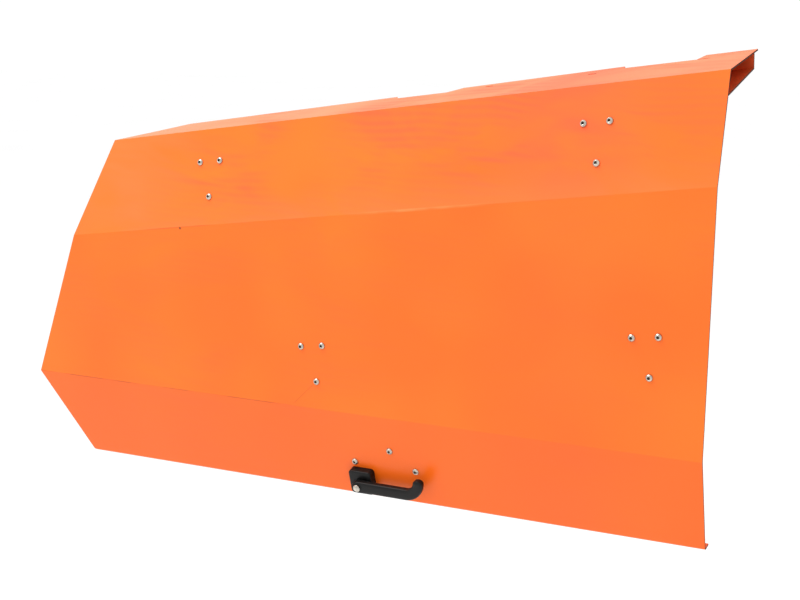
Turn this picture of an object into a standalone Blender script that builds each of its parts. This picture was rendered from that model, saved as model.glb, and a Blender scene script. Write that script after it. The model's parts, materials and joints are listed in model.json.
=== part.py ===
"""Folded steel blade panel with four hook brackets and a quarter-turn lever latch.

Frame: x runs to the right along the lower fold, y to the rear, z up, in metres.
The shapes are worked out from the left end of the lower fold; the empty "blade_root" then
shifts them all so that the seat of the upper left hook lies at the origin.
"""

from math import cos, pi, radians, sin, tan

import bmesh
import bpy
from mathutils import Matrix, Vector

# Folded sheet panel: x is measured from the left end of the lower fold, z from the lower fold.
# Insets are measured back from the right end.
BLADE_LENGTH = 1.556
SHEET = 0.003
BEND_RADIUS = 0.006
TOP_SLOPE = radians(6.83)
UPPER_FOLD_LEFT_X = 0.128
UPPER_FOLD_LEFT_Z = 0.316
UPPER_FOLD_RIGHT_INSET = 0.001
LOWER_FOLD_RIGHT_INSET = 0.019
UPPER_HEIGHT = 0.199
UPPER_LEAN = radians(17.0)
TOP_LEFT_X = 0.211
LOWER_KICK = radians(14.0)
BOTTOM_LEFT_X = 0.103
BOTTOM_LEFT_DROP = 0.194
BOTTOM_RIGHT_INSET = 0.026
BOTTOM_RIGHT_DROP = 0.187
RETURN_DEPTH = 0.020
RETURN_MITRE = 0.015

# Top flange: its rear edge, as distance along the top edge and depth behind it.
FLANGE_RISE = radians(9.0)
FLANGE_FROM_LEFT = (
    (0.066, 0.036),
    (0.143, 0.084),
    (0.645, 0.108),
    (0.653, 0.094),
    (0.763, 0.094),
    (0.788, 0.120),
)
# The rest of the rear edge is measured back from the right end of the top edge.
FLANGE_FROM_RIGHT = (
    (0.241, 0.140),
    (0.237, 0.125),
    (0.099, 0.123),
)
FLANGE_END_DEPTH = 0.156
FLANGE_END_LENGTH = 0.091
# Slots as shares of the way from the left steps to the right ones.
FLANGE_SLOTS = (0.194, 0.843)
FLANGE_SLOT_DEPTH = 0.104
FLANGE_SLOT_LENGTH = 0.016
FLANGE_SLOT_WIDTH = 0.004
FLANGE_RELIEF_LENGTH = 0.024
FLANGE_RELIEF_WIDTH = 0.003

# End box under the right end of the flange.
END_BOX_REAR = 0.136
END_BOX_REAR_LEAN = 0.004
END_BOX_REAR_HEIGHT = 0.027
END_BOX_FRONT_DROP = 0.042
END_BOX_FRONT_CLEARANCE = 0.0022

# Fasteners: M8 button-head screws with flange nuts.
SCREW_DIAMETER = 0.008
SCREW_HEAD_DIAMETER = 0.014
SCREW_HEAD_HEIGHT = 0.0044
SCREW_SOCKET_WIDTH = 0.005
SCREW_SOCKET_DEPTH = 0.0026
DOME_TURNS = (15.0, 38.0, 58.0)
SCREW_HOLE_CLEARANCE = 0.0005
SCREW_END = 0.0015
NUT_WIDTH = 0.013
NUT_HEIGHT = 0.008
NUT_FLANGE_DIAMETER = 0.0178
NUT_FLANGE_HEIGHT = 0.0018
NUT_FLANGE_SLOPE = 0.0004
THREAD_GAP = 0.0003

# Three-screw pattern shared by the four hook brackets.
PATTERN_WIDTH = 0.050
PATTERN_HEIGHT = 0.0729

# Hook brackets: the centre of each pattern on its facet, as x and height in the facet.
UPPER_BRACKET_HEIGHT = 0.095
UPPER_LEFT_BRACKET_X = 0.480
UPPER_RIGHT_BRACKET_INSET = 0.229
LOWER_LEFT_BRACKET_X = 0.7345
LOWER_LEFT_BRACKET_Z = 0.0933
LOWER_RIGHT_BRACKET_INSET = 0.103
LOWER_RIGHT_BRACKET_Z = 0.1793
BRACKET_PLATE = 0.004
BRACKET_MARGIN = 0.018
EAR_THICKNESS = 0.008
EAR_ABOVE_CENTRE = 0.046
EAR_BELOW_CENTRE = 0.016
SEAT_DEPTH = 0.095
PIN_SLOT_WIDTH = 0.017
PIN_SLOT_LENGTH = 0.036
HOOK_WALL = 0.014
HOOK_FRONT_WALL = 0.020
HOOK_ROOF = 0.022
SLOT_CHAMFER = 0.004

# Latch: the pivot's place on the lower facet, and its three screws relative to the pivot.
LATCH_X = 0.822
LATCH_DROP = 0.1525
LATCH_SCREWS = ((-0.0156, 0.0403), (0.0707, 0.0772), (0.1237, 0.0384))
LATCH_PLATE = 0.003
LATCH_PLATE_MARGIN = 0.016
HOUSING_WIDTH = 0.052
HOUSING_HEIGHT = 0.053
HOUSING_DEPTH = 0.018
HOUSING_CORNER = 0.007
HOUSING_RISE = 0.002
HOUSING_EDGE = 0.003
HOUSING_WALL = 0.004
HOUSING_SCREW_DIAMETER = 0.005
HOUSING_SCREW_HEAD_DIAMETER = 0.0095
HOUSING_SCREW_HEAD_HEIGHT = 0.003
HOUSING_SCREW_GRIP = 0.010
PILOT_RUNOUT = 0.001
HOUSING_SCREWS = ((0.016, 0.018), (-0.016, -0.018))
SPINDLE_DIAMETER = 0.018
SPINDLE_SQUARE = 0.012
LEVER_SOCKET_DEPTH = 0.009
RUNNING_GAP = 0.0004
LEVER_THICKNESS = 0.015
LEVER_HUB_WIDTH = 0.026
LEVER_ARM_WIDTH = 0.0245
LEVER_TIP_WIDTH = 0.021
LEVER_NECK_START = 0.020
LEVER_NECK_END = 0.034
LEVER_NECK_FLARE = 0.001
LEVER_STRAIGHT = 0.1085
LEVER_HOOK_RADIUS = 0.033
LEVER_HOOK_ANGLE = radians(84.0)
LEVER_HOOK_STEPS = 6
LEVER_TIP_BULGE = 0.7
LEVER_EDGE = 0.005
# Corner radius allowed on the narrow end sections, as a share of their width.
LEVER_EDGE_SHARE = 0.45
PIVOT_HEAD_DIAMETER = 0.0152
PIVOT_HEAD_HEIGHT = 0.0045
PIVOT_DIAMETER = 0.008
TONGUE_THICKNESS = 0.004
TONGUE_LENGTH = 0.058
TONGUE_END_RADIUS = 0.010
TONGUE_WALL = 0.006
TONGUE_CLEARANCE = 0.002
WASHER_DIAMETER = 0.017
WASHER_THICKNESS = 0.0016

GAP = 0.0003
CUT_MARGIN = 0.004
SIDES = 24
FASTENER_SIDES = 12
SMOOTH_ANGLE = radians(35)

X = Vector((1.0, 0.0, 0.0))
Y = Vector((0.0, 1.0, 0.0))
Z = Vector((0.0, 0.0, 1.0))


# Frames of the flat facets: local x along the fold, y up the face, z out of the front.

def facet_frame(origin, along, up):
    frame = Matrix((along, up, along.cross(up))).transposed().to_4x4()
    frame.translation = origin
    return frame


def at(facet, u, v, out=0.0):
    """Frame on a facet, moved along it by u, up it by v and out of it."""
    return facet @ Matrix.Translation((u, v, out))


def along_for_x(facet, x, v, out=0.0):
    """Distance along a facet's fold at which height v has the given x."""
    offset = v * facet.col[1].x + out * facet.col[2].x
    return (x - facet.translation.x - offset) / facet.col[0].x


def front_point(facet, x, v):
    return facet @ Vector((along_for_x(facet, x, v), v, 0.0))


def plane_y(facet, x, z, depth):
    """y of the plane lying depth behind a facet's front, at a given x and z."""
    out = facet.col[2].xyz
    point = facet.translation - depth * out
    return point.y - (out.x * (x - point.x) + out.z * (z - point.z)) / out.y


FOLD_DIRECTION = Vector((cos(TOP_SLOPE), 0.0, sin(TOP_SLOPE)))
FOLD_UP = Vector((-sin(TOP_SLOPE), 0.0, cos(TOP_SLOPE)))
UPPER_FOLD_START = Vector((UPPER_FOLD_LEFT_X, 0.0, UPPER_FOLD_LEFT_Z))
MIDDLE = facet_frame(UPPER_FOLD_START, FOLD_DIRECTION, FOLD_UP)
UPPER = facet_frame(
    UPPER_FOLD_START, FOLD_DIRECTION, FOLD_UP * cos(UPPER_LEAN) + Y * sin(UPPER_LEAN)
)
LOWER = facet_frame(Vector(), X, Z * cos(LOWER_KICK) - Y * sin(LOWER_KICK))
TOP_LEFT = front_point(UPPER, TOP_LEFT_X, UPPER_HEIGHT)
FLANGE = facet_frame(
    TOP_LEFT, FOLD_DIRECTION, Y * cos(FLANGE_RISE) + FOLD_UP * sin(FLANGE_RISE)
)
TOP_LENGTH = along_for_x(FLANGE, BLADE_LENGTH, 0.0)


# Outlines: counter-clockwise, and rings of one piece have as many points as each other.

def circle(radius, sides=SIDES):
    turns = [2 * pi * i / sides for i in range(sides)]
    return [(radius * cos(t), radius * sin(t)) for t in turns]


def polygon(width, corners, sides=SIDES):
    """Regular polygon of a given width across its flats."""
    points = []
    for i in range(sides):
        turn = 2 * pi * i / sides
        off_flat = turn % (2 * pi / corners) - pi / corners
        reach = 0.5 * width / cos(off_flat)
        points.append((reach * cos(turn), reach * sin(turn)))
    return points


def rounded_rectangle(width, height, radius):
    points = []
    per_corner = SIDES // 4
    for corner, (sx, sy) in enumerate(((1, 1), (-1, 1), (-1, -1), (1, -1))):
        centre_x = sx * (width / 2 - radius)
        centre_y = sy * (height / 2 - radius)
        for i in range(per_corner):
            turn = pi / 2 * (corner + i / (per_corner - 1))
            points.append((centre_x + radius * cos(turn), centre_y + radius * sin(turn)))
    return points


def rectangle(width, height):
    return [
        (-width / 2, -height / 2),
        (width / 2, -height / 2),
        (width / 2, height / 2),
        (-width / 2, height / 2),
    ]


# Materials and objects.

def material(name, colour, roughness, metallic):
    paint = bpy.data.materials.new(name)
    paint.use_nodes = True
    shader = paint.node_tree.nodes["Principled BSDF"]
    shader.inputs["Base Color"].default_value = (*colour, 1.0)
    shader.inputs["Roughness"].default_value = roughness
    shader.inputs["Metallic"].default_value = metallic
    return paint


def new_object(name, mesh, parent, finish=None, place=None):
    """Object under a parent; with no finish it is a cutter or guide that is left out."""
    thing = bpy.data.objects.new(name, mesh)
    bpy.context.scene.collection.objects.link(thing)
    thing.parent = parent
    if place is not None:
        thing.matrix_local = place
    if finish is None:
        thing.hide_render = True
        thing.display_type = "WIRE"
    elif not mesh.materials:
        mesh.materials.append(finish)
    return thing


def mesh_from(bm, name, smooth=False):
    bmesh.ops.recalc_face_normals(bm, faces=bm.faces)
    mesh = bpy.data.meshes.new(name)
    bm.to_mesh(mesh)
    bm.free()
    if smooth:
        mesh.shade_smooth()
        mesh.set_sharp_from_angle(angle=SMOOTH_ANGLE)
    return mesh


def boolean(thing, operation, tool):
    step = thing.modifiers.new(operation.lower(), "BOOLEAN")
    step.operation = operation
    step.solver = "EXACT"
    step.object = tool


def give_thickness(thing):
    """Sheet wall behind an outer skin, every facet exactly as thick as the sheet."""
    wall = thing.modifiers.new("sheet", "SOLIDIFY")
    wall.solidify_mode = "NON_MANIFOLD"
    wall.nonmanifold_thickness_mode = "CONSTRAINTS"
    wall.thickness = SHEET
    wall.offset = -1.0


# Mesh builders.

def join_rings(bm, lower, upper):
    count = len(lower)
    for i in range(count):
        j = (i + 1) % count
        bm.faces.new((lower[i], lower[j], upper[j], upper[i]))


def ring_mesh(name, rings, through=False):
    """Solid through (outline, z) rings; a through solid closes on itself round a bore."""
    bm = bmesh.new()
    loops = [[bm.verts.new((x, y, z)) for x, y in outline] for outline, z in rings]
    for lower, upper in zip(loops, loops[1:]):
        join_rings(bm, lower, upper)
    if through:
        join_rings(bm, loops[-1], loops[0])
    else:
        bm.faces.new(reversed(loops[0]))
        bm.faces.new(loops[-1])
    return mesh_from(bm, name, smooth=True)


def add_prism(bm, outline, bottom, top, place=None):
    place = place or Matrix()
    lower = [bm.verts.new(place @ Vector((x, y, bottom))) for x, y in outline]
    upper = [bm.verts.new(place @ Vector((x, y, top))) for x, y in outline]
    join_rings(bm, lower, upper)
    bm.faces.new(reversed(lower))
    bm.faces.new(upper)


def hull_mesh(name, discs, bottom, top):
    """Plate whose edge wraps tightly round a set of (x, y, radius) discs."""
    bm = bmesh.new()
    for x, y, radius in discs:
        for dx, dy in circle(radius):
            bm.verts.new((x + dx, y + dy, bottom))
            bm.verts.new((x + dx, y + dy, top))
    hull = bmesh.ops.convex_hull(bm, input=bm.verts)
    inner = {v for v in hull["geom_interior"] if isinstance(v, bmesh.types.BMVert)}
    bmesh.ops.delete(bm, geom=list(inner), context="VERTS")
    bmesh.ops.dissolve_limit(bm, angle_limit=radians(1), verts=bm.verts, edges=bm.edges)
    return mesh_from(bm, name, smooth=True)


def prisms_mesh(name, prisms):
    """One mesh of separate prisms, each given as (outline, bottom, top, place)."""
    bm = bmesh.new()
    for outline, bottom, top, place in prisms:
        add_prism(bm, outline, bottom, top, place)
    return mesh_from(bm, name)


# Sheet panel.

def flange_outline():
    """Rear edge of the top flange from its right end to its left end."""
    right_end = along_for_x(FLANGE, BLADE_LENGTH, FLANGE_END_DEPTH)
    edge = [(right_end, FLANGE_END_DEPTH)]
    edge.append((TOP_LENGTH - FLANGE_END_LENGTH, FLANGE_END_DEPTH))
    edge.extend((TOP_LENGTH - inset, depth) for inset, depth in reversed(FLANGE_FROM_RIGHT))
    edge.extend(reversed(FLANGE_FROM_LEFT))
    return [FLANGE @ Vector((u, v, 0.0)) for u, v in edge]


def sheet_mesh():
    """Outer skin of the folded sheet; Solidify gives it its thickness inwards."""
    bm = bmesh.new()
    inward = -LOWER.col[2].xyz
    lower_left = Vector()
    lower_right = X * (BLADE_LENGTH - LOWER_FOLD_RIGHT_INSET)
    upper_right = front_point(MIDDLE, BLADE_LENGTH - UPPER_FOLD_RIGHT_INSET, 0.0)
    top_right = front_point(UPPER, BLADE_LENGTH, UPPER_HEIGHT)
    bottom_left = front_point(LOWER, BOTTOM_LEFT_X, -BOTTOM_LEFT_DROP)
    bottom_right = front_point(LOWER, BLADE_LENGTH - BOTTOM_RIGHT_INSET, -BOTTOM_RIGHT_DROP)
    return_right = bottom_right + inward * RETURN_DEPTH
    return_left = bottom_left + inward * RETURN_DEPTH + X * RETURN_MITRE

    def vertices(points):
        return [bm.verts.new(point) for point in points]

    tops = vertices((TOP_LEFT, top_right))
    uppers = vertices((UPPER_FOLD_START, upper_right))
    lowers = vertices((lower_left, lower_right))
    bottoms = vertices((bottom_left, bottom_right))
    bm.faces.new((uppers[0], uppers[1], tops[1], tops[0]))
    bm.faces.new((lowers[0], lowers[1], uppers[1], uppers[0]))
    bm.faces.new((bottoms[0], bottoms[1], lowers[1], lowers[0]))
    bm.faces.new((tops[0], tops[1], *vertices(flange_outline())))
    bm.faces.new((*vertices((return_left, return_right)), bottoms[1], bottoms[0]))
    folds = [bm.edges.get(pair) for pair in (tops, uppers, lowers, bottoms)]
    for fold in folds:
        turn = fold.calc_face_angle()
        bmesh.ops.bevel(
            bm, geom=[fold], offset=BEND_RADIUS * tan(turn / 2), segments=3,
            profile=0.5, affect="EDGES",
        )
    mesh = bpy.data.meshes.new("blade_panel")
    bm.to_mesh(mesh)
    bm.free()
    return mesh


def pattern_holes():
    """Screw places round the centre of a bracket's pattern."""
    half_width = PATTERN_WIDTH / 2
    half_height = PATTERN_HEIGHT / 2
    return ((-half_width, half_height), (half_width, half_height), (0.0, -half_height))


def bracket_places():
    """Name, facet and pattern frame of each hook bracket."""
    upper_right_x = BLADE_LENGTH - UPPER_RIGHT_BRACKET_INSET
    lower_right_x = BLADE_LENGTH - LOWER_FOLD_RIGHT_INSET - LOWER_RIGHT_BRACKET_INSET
    places = []
    for name, x in (("upper_left", UPPER_LEFT_BRACKET_X), ("upper_right", upper_right_x)):
        u = along_for_x(UPPER, x, UPPER_BRACKET_HEIGHT)
        places.append((name, UPPER, at(UPPER, u, UPPER_BRACKET_HEIGHT)))
    for name, x, z in (
        ("lower_left", LOWER_LEFT_BRACKET_X, LOWER_LEFT_BRACKET_Z),
        ("lower_right", lower_right_x, LOWER_RIGHT_BRACKET_Z),
    ):
        local = MIDDLE.inverted() @ Vector((x, 0.0, z))
        places.append((name, MIDDLE, at(MIDDLE, local.x, local.y)))
    return places


def latch_place():
    return at(LOWER, LATCH_X, -LATCH_DROP)


def through_holes(place, centres, radius):
    """Round cutters through the sheet at places given in a local frame."""
    depth = SHEET + CUT_MARGIN
    return [
        (circle(radius), -depth, CUT_MARGIN, place @ Matrix.Translation((x, y, 0.0)))
        for x, y in centres
    ]


def panel_cuts():
    screw_hole = SCREW_DIAMETER / 2 + SCREW_HOLE_CLEARANCE
    small_hole = HOUSING_SCREW_DIAMETER / 2 + GAP
    cuts = []
    for _, _, place in bracket_places():
        cuts += through_holes(place, pattern_holes(), screw_hole)
    cuts += through_holes(latch_place(), LATCH_SCREWS, screw_hole)
    cuts += through_holes(latch_place(), HOUSING_SCREWS, small_hole)
    cuts += through_holes(latch_place(), ((0.0, 0.0),), housing_neck_radius() + GAP)
    slot = rectangle(FLANGE_SLOT_LENGTH, FLANGE_SLOT_WIDTH)
    slots_start = FLANGE_FROM_LEFT[-1][0]
    slots_reach = TOP_LENGTH - FLANGE_FROM_RIGHT[0][0] - slots_start
    for share in FLANGE_SLOTS:
        slot_place = at(FLANGE, slots_start + share * slots_reach, FLANGE_SLOT_DEPTH)
        cuts.append((slot, -SHEET - CUT_MARGIN, CUT_MARGIN, slot_place))
    relief_start, relief_depth = FLANGE_FROM_RIGHT[-1]
    relief = rectangle(FLANGE_RELIEF_LENGTH, FLANGE_RELIEF_WIDTH)
    relief_u = TOP_LENGTH - relief_start + FLANGE_RELIEF_LENGTH / 2
    relief_place = at(FLANGE, relief_u, relief_depth)
    cuts.append((relief, -SHEET - CUT_MARGIN, CUT_MARGIN, relief_place))
    return cuts


def make_panel(root, finish):
    panel = new_object("blade_panel", sheet_mesh(), root, finish)
    give_thickness(panel)
    cutter = new_object("panel_cutter", prisms_mesh("panel_cutter", panel_cuts()), root)
    boolean(panel, "DIFFERENCE", cutter)


def make_end_box(root, finish):
    """Bent plate that closes the right end of the flange into a box, open at both ends."""
    top = SHEET + GAP + SHEET * END_BOX_REAR_LEAN / END_BOX_REAR_HEIGHT
    bottom = top + END_BOX_REAR_HEIGHT
    rear_bottom = END_BOX_REAR - END_BOX_REAR_LEAN
    down_front = FLANGE.to_3x3().inverted() @ -UPPER.col[1].xyz
    behind_front = FLANGE.to_3x3().inverted() @ -UPPER.col[2].xyz
    reach = END_BOX_FRONT_DROP / -down_front.z
    front = down_front.y * reach + (SHEET + END_BOX_FRONT_CLEARANCE) / behind_front.y
    corners = ((END_BOX_REAR, -top), (rear_bottom, -bottom), (front, -END_BOX_FRONT_DROP))
    bm = bmesh.new()
    left_u = TOP_LENGTH - FLANGE_END_LENGTH
    left = [bm.verts.new(FLANGE @ Vector((left_u, v, s))) for v, s in corners]
    right = [
        bm.verts.new(FLANGE @ Vector((along_for_x(FLANGE, BLADE_LENGTH, v, s), v, s)))
        for v, s in corners
    ]
    for i in range(len(corners) - 1):
        bm.faces.new((left[i], right[i], right[i + 1], left[i + 1]))
    bmesh.ops.recalc_face_normals(bm, faces=bm.faces)
    if bm.faces[0].normal.y < 0:
        bmesh.ops.reverse_faces(bm, faces=bm.faces)
    mesh = bpy.data.meshes.new("end_box")
    bm.to_mesh(mesh)
    bm.free()
    box = new_object("end_box", mesh, root, finish)
    give_thickness(box)


# Fasteners: origin under the head, head towards +z.

def head_rings(diameter, height, sides=SIDES):
    """Domed head that ends in a flat at the last of its turns."""
    flat = sin(radians(DOME_TURNS[-1]))
    rings = [(circle(diameter / 2, sides), 0.0)]
    for turn in DOME_TURNS:
        ring = circle(diameter / 2 * cos(radians(turn)), sides)
        rings.append((ring, height * sin(radians(turn)) / flat))
    return rings


def screw_mesh(name, length):
    shank = circle(SCREW_DIAMETER / 2, FASTENER_SIDES)
    socket = polygon(SCREW_SOCKET_WIDTH, 6, FASTENER_SIDES)
    rings = [(shank, -length), (shank, 0.0)]
    rings += head_rings(SCREW_HEAD_DIAMETER, SCREW_HEAD_HEIGHT, FASTENER_SIDES)
    rings.append((socket, SCREW_HEAD_HEIGHT))
    rings.append((socket, SCREW_HEAD_HEIGHT - SCREW_SOCKET_DEPTH))
    return ring_mesh(name, rings)


def nut_mesh(name, thread_diameter):
    """Flange nut: origin on its bearing face, body towards +z."""
    bore = circle(thread_diameter / 2 + THREAD_GAP, FASTENER_SIDES)
    flange = circle(NUT_FLANGE_DIAMETER / 2, FASTENER_SIDES)
    hexagon = polygon(NUT_WIDTH, 6, FASTENER_SIDES)
    rings = [
        (flange, 0.0),
        (flange, NUT_FLANGE_HEIGHT),
        (hexagon, NUT_FLANGE_HEIGHT + NUT_FLANGE_SLOPE),
        (hexagon, NUT_HEIGHT),
        (bore, NUT_HEIGHT),
        (bore, 0.0),
    ]
    return ring_mesh(name, rings, through=True)


def washer_mesh(name, bore_diameter):
    outer = circle(WASHER_DIAMETER / 2)
    bore = circle(bore_diameter / 2 + THREAD_GAP)
    rings = [(outer, 0.0), (outer, WASHER_THICKNESS), (bore, WASHER_THICKNESS), (bore, 0.0)]
    return ring_mesh(name, rings, through=True)


def make_screws(root, prefix, place, centres, grip, finish):
    """Screws through the sheet from the front, each with a flange nut behind."""
    stack = GAP + grip + GAP
    length = stack + NUT_HEIGHT + SCREW_END
    screw = screw_mesh(prefix + "_screw", length)
    nut = nut_mesh(prefix + "_nut", SCREW_DIAMETER)
    flipped = Matrix.Rotation(pi, 4, "X")
    for number, (x, y) in enumerate(centres, start=1):
        head = place @ Matrix.Translation((x, y, GAP))
        new_object(f"{prefix}_screw_{number}", screw, root, finish, head)
        seat = place @ Matrix.Translation((x, y, -grip - GAP)) @ flipped
        new_object(f"{prefix}_nut_{number}", nut, root, finish, seat)


# Hook brackets.

def ear_outline(facet, centre):
    """Side view of a bracket's ear as (y, z) points; its front edge lies inside the plate."""
    buried = SHEET + GAP + BRACKET_PLATE / 2
    top = centre.z + EAR_ABOVE_CENTRE
    foot = centre.z - EAR_BELOW_CENTRE
    seat = centre.z
    front = SEAT_DEPTH - PIN_SLOT_WIDTH / 2
    rear = SEAT_DEPTH + PIN_SLOT_WIDTH / 2
    mouth = seat - PIN_SLOT_LENGTH
    return [
        (plane_y(facet, centre.x, top, buried), top),
        (plane_y(facet, centre.x, foot, buried), foot),
        (front - HOOK_FRONT_WALL, mouth + HOOK_ROOF / 2),
        (front - HOOK_FRONT_WALL / 2, mouth),
        (front - SLOT_CHAMFER, mouth),
        (front, mouth + SLOT_CHAMFER),
        (front, seat),
        (rear, seat),
        (rear, mouth + SLOT_CHAMFER),
        (rear + SLOT_CHAMFER, mouth),
        (rear + HOOK_WALL, mouth),
        (rear + HOOK_WALL, seat + HOOK_ROOF / 2),
        (rear + HOOK_WALL / 2, seat + HOOK_ROOF),
    ]


def make_bracket(root, name, facet, place, finish, screw_finish):
    bottom = -(SHEET + GAP + BRACKET_PLATE)
    discs = [(x, y, BRACKET_MARGIN) for x, y in pattern_holes()]
    mesh = hull_mesh("hook_bracket_" + name, discs, bottom, -(SHEET + GAP))
    bracket = new_object("hook_bracket_" + name, mesh, root, finish, place)
    centre = place.translation
    # The ear stands in a plane square to x, so its outline's y and z become local x and y.
    ear_frame = facet_frame(Vector((centre.x, 0.0, 0.0)), Y, Z)
    half = EAR_THICKNESS / 2
    ear = prisms_mesh(name + "_ear", [(ear_outline(facet, centre), -half, half, ear_frame)])
    boolean(bracket, "UNION", new_object(name + "_ear", ear, root))
    hole = circle(SCREW_DIAMETER / 2 + SCREW_HOLE_CLEARANCE)
    drills = [
        (hole, bottom - CUT_MARGIN, CUT_MARGIN, Matrix.Translation((x, y, 0.0)))
        for x, y in pattern_holes()
    ]
    drill_mesh = prisms_mesh(name + "_drill", drills)
    boolean(bracket, "DIFFERENCE", new_object(name + "_drill", drill_mesh, root, place=place))
    make_screws(root, name, place, pattern_holes(), SHEET + GAP + BRACKET_PLATE, screw_finish)


# Latch: everything is measured out of the lower facet's front, along the pivot.

def housing_bore_radius():
    return SPINDLE_DIAMETER / 2 + RUNNING_GAP


def housing_neck_radius():
    return housing_bore_radius() + HOUSING_WALL


def plate_back():
    return SHEET + GAP + LATCH_PLATE


def tongue_front():
    """Depth of the tongue's front face, clear behind the ends of the latch screws."""
    return plate_back() + GAP + NUT_HEIGHT + SCREW_END + TONGUE_CLEARANCE


def make_housing(root, place, finish):
    bore = circle(housing_bore_radius())
    neck = circle(housing_neck_radius())
    edge = HOUSING_EDGE
    foot = rounded_rectangle(HOUSING_WIDTH, HOUSING_HEIGHT, HOUSING_CORNER)
    face = rounded_rectangle(
        HOUSING_WIDTH - 2 * edge, HOUSING_HEIGHT - 2 * edge, HOUSING_CORNER - edge / 2
    )
    foot = [(x, y + HOUSING_RISE) for x, y in foot]
    face = [(x, y + HOUSING_RISE) for x, y in face]
    rings = [
        (neck, -SHEET),
        (neck, GAP),
        (foot, GAP),
        (foot, HOUSING_DEPTH - edge),
        (face, HOUSING_DEPTH),
        (bore, HOUSING_DEPTH),
        (bore, -SHEET),
    ]
    mesh = ring_mesh("latch_housing", rings, through=True)
    housing = new_object("latch_housing", mesh, root, finish, place)
    pilot = circle(HOUSING_SCREW_DIAMETER / 2 + THREAD_GAP)
    pilots = [
        (pilot, -CUT_MARGIN, HOUSING_SCREW_GRIP + PILOT_RUNOUT, Matrix.Translation((x, y, 0.0)))
        for x, y in HOUSING_SCREWS
    ]
    drill = new_object("housing_drill", prisms_mesh("housing_drill", pilots), root, place=place)
    boolean(housing, "DIFFERENCE", drill)


def make_housing_screws(root, place, finish):
    """Two small screws from behind, through the latch plate into the housing."""
    shank = circle(HOUSING_SCREW_DIAMETER / 2, FASTENER_SIDES)
    length = plate_back() + GAP + HOUSING_SCREW_GRIP
    rings = [(shank, -length), (shank, 0.0)]
    rings += head_rings(HOUSING_SCREW_HEAD_DIAMETER, HOUSING_SCREW_HEAD_HEIGHT, FASTENER_SIDES)
    mesh = ring_mesh("housing_screw", rings)
    flipped = Matrix.Rotation(pi, 4, "X")
    for number, (x, y) in enumerate(HOUSING_SCREWS, start=1):
        seat = place @ Matrix.Translation((x, y, -plate_back() - GAP)) @ flipped
        new_object(f"housing_screw_{number}", mesh, root, finish, seat)


def make_latch_plate(root, place, finish, screw_finish):
    discs = [(x, y, LATCH_PLATE_MARGIN) for x, y in LATCH_SCREWS]
    discs.append((0.0, 0.0, HOUSING_WIDTH / 2))
    mesh = hull_mesh("latch_plate", discs, -plate_back(), -(SHEET + GAP))
    plate = new_object("latch_plate", mesh, root, finish, place)
    bottom = -plate_back() - CUT_MARGIN
    holes = [(0.0, 0.0, housing_bore_radius())]
    holes += [(x, y, SCREW_DIAMETER / 2 + SCREW_HOLE_CLEARANCE) for x, y in LATCH_SCREWS]
    holes += [(x, y, HOUSING_SCREW_DIAMETER / 2 + GAP) for x, y in HOUSING_SCREWS]
    drills = [(circle(r), bottom, 0.0, Matrix.Translation((x, y, 0.0))) for x, y, r in holes]
    drill = new_object("plate_drill", prisms_mesh("plate_drill", drills), root, place=place)
    boolean(plate, "DIFFERENCE", drill)
    make_screws(root, "latch", place, LATCH_SCREWS, SHEET + GAP + LATCH_PLATE, screw_finish)


def lever_sections():
    """Centre, heading and width of the lever's cross-sections, from hub to hooked tip."""
    hub = LEVER_HUB_WIDTH / 2
    sections = []
    for turn in (8, 30, 55, 90):
        reach = hub * cos(radians(turn))
        sections.append((-reach, 0.0, 0.0, 2 * hub * sin(radians(turn))))
    sections.append((LEVER_NECK_START, 0.0, 0.0, LEVER_ARM_WIDTH + LEVER_NECK_FLARE))
    sections.append((LEVER_NECK_END, 0.0, 0.0, LEVER_ARM_WIDTH))
    for i in range(LEVER_HOOK_STEPS + 1):
        turn = LEVER_HOOK_ANGLE * i / LEVER_HOOK_STEPS
        x = LEVER_STRAIGHT + LEVER_HOOK_RADIUS * sin(turn)
        y = LEVER_HOOK_RADIUS * (1 - cos(turn))
        width = LEVER_ARM_WIDTH + (LEVER_TIP_WIDTH - LEVER_ARM_WIDTH) * i / LEVER_HOOK_STEPS
        sections.append((x, y, turn, width))
    tip = LEVER_TIP_WIDTH / 2
    for turn in (35, 60, 80):
        reach = tip * LEVER_TIP_BULGE * sin(radians(turn))
        sections.append((
            x + reach * cos(LEVER_HOOK_ANGLE),
            y + reach * sin(LEVER_HOOK_ANGLE),
            LEVER_HOOK_ANGLE,
            2 * tip * cos(radians(turn)),
        ))
    return sections


def make_lever(pivot, finish):
    """Flat hooked lever swept through rounded cross-sections, with a square socket behind."""
    base = HOUSING_DEPTH + RUNNING_GAP
    middle = base + LEVER_THICKNESS / 2
    bm = bmesh.new()
    loops = []
    for x, y, heading, width in lever_sections():
        edge = min(LEVER_EDGE, width * LEVER_EDGE_SHARE)
        outline = rounded_rectangle(width, LEVER_THICKNESS, edge)
        side = Vector((-sin(heading), cos(heading), 0.0))
        centre = Vector((x, y, middle))
        loops.append([bm.verts.new(centre + side * a + Z * b) for a, b in outline])
    for first, second in zip(loops, loops[1:]):
        join_rings(bm, first, second)
    bm.faces.new(reversed(loops[0]))
    bm.faces.new(loops[-1])
    lever = new_object("latch_lever", mesh_from(bm, "latch_lever", smooth=True), pivot, finish)
    square = polygon(SPINDLE_SQUARE + 2 * GAP, 4)
    bolt = circle(PIVOT_DIAMETER / 2 + GAP)
    bm = bmesh.new()
    add_prism(bm, square, base - CUT_MARGIN, base + LEVER_SOCKET_DEPTH)
    sockets = mesh_from(bm, "lever_socket")
    boolean(lever, "DIFFERENCE", new_object("lever_socket", sockets, pivot))
    bm = bmesh.new()
    add_prism(bm, bolt, base - CUT_MARGIN, base + LEVER_THICKNESS + CUT_MARGIN)
    bores = mesh_from(bm, "lever_bore")
    boolean(lever, "DIFFERENCE", new_object("lever_bore", bores, pivot))


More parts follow.
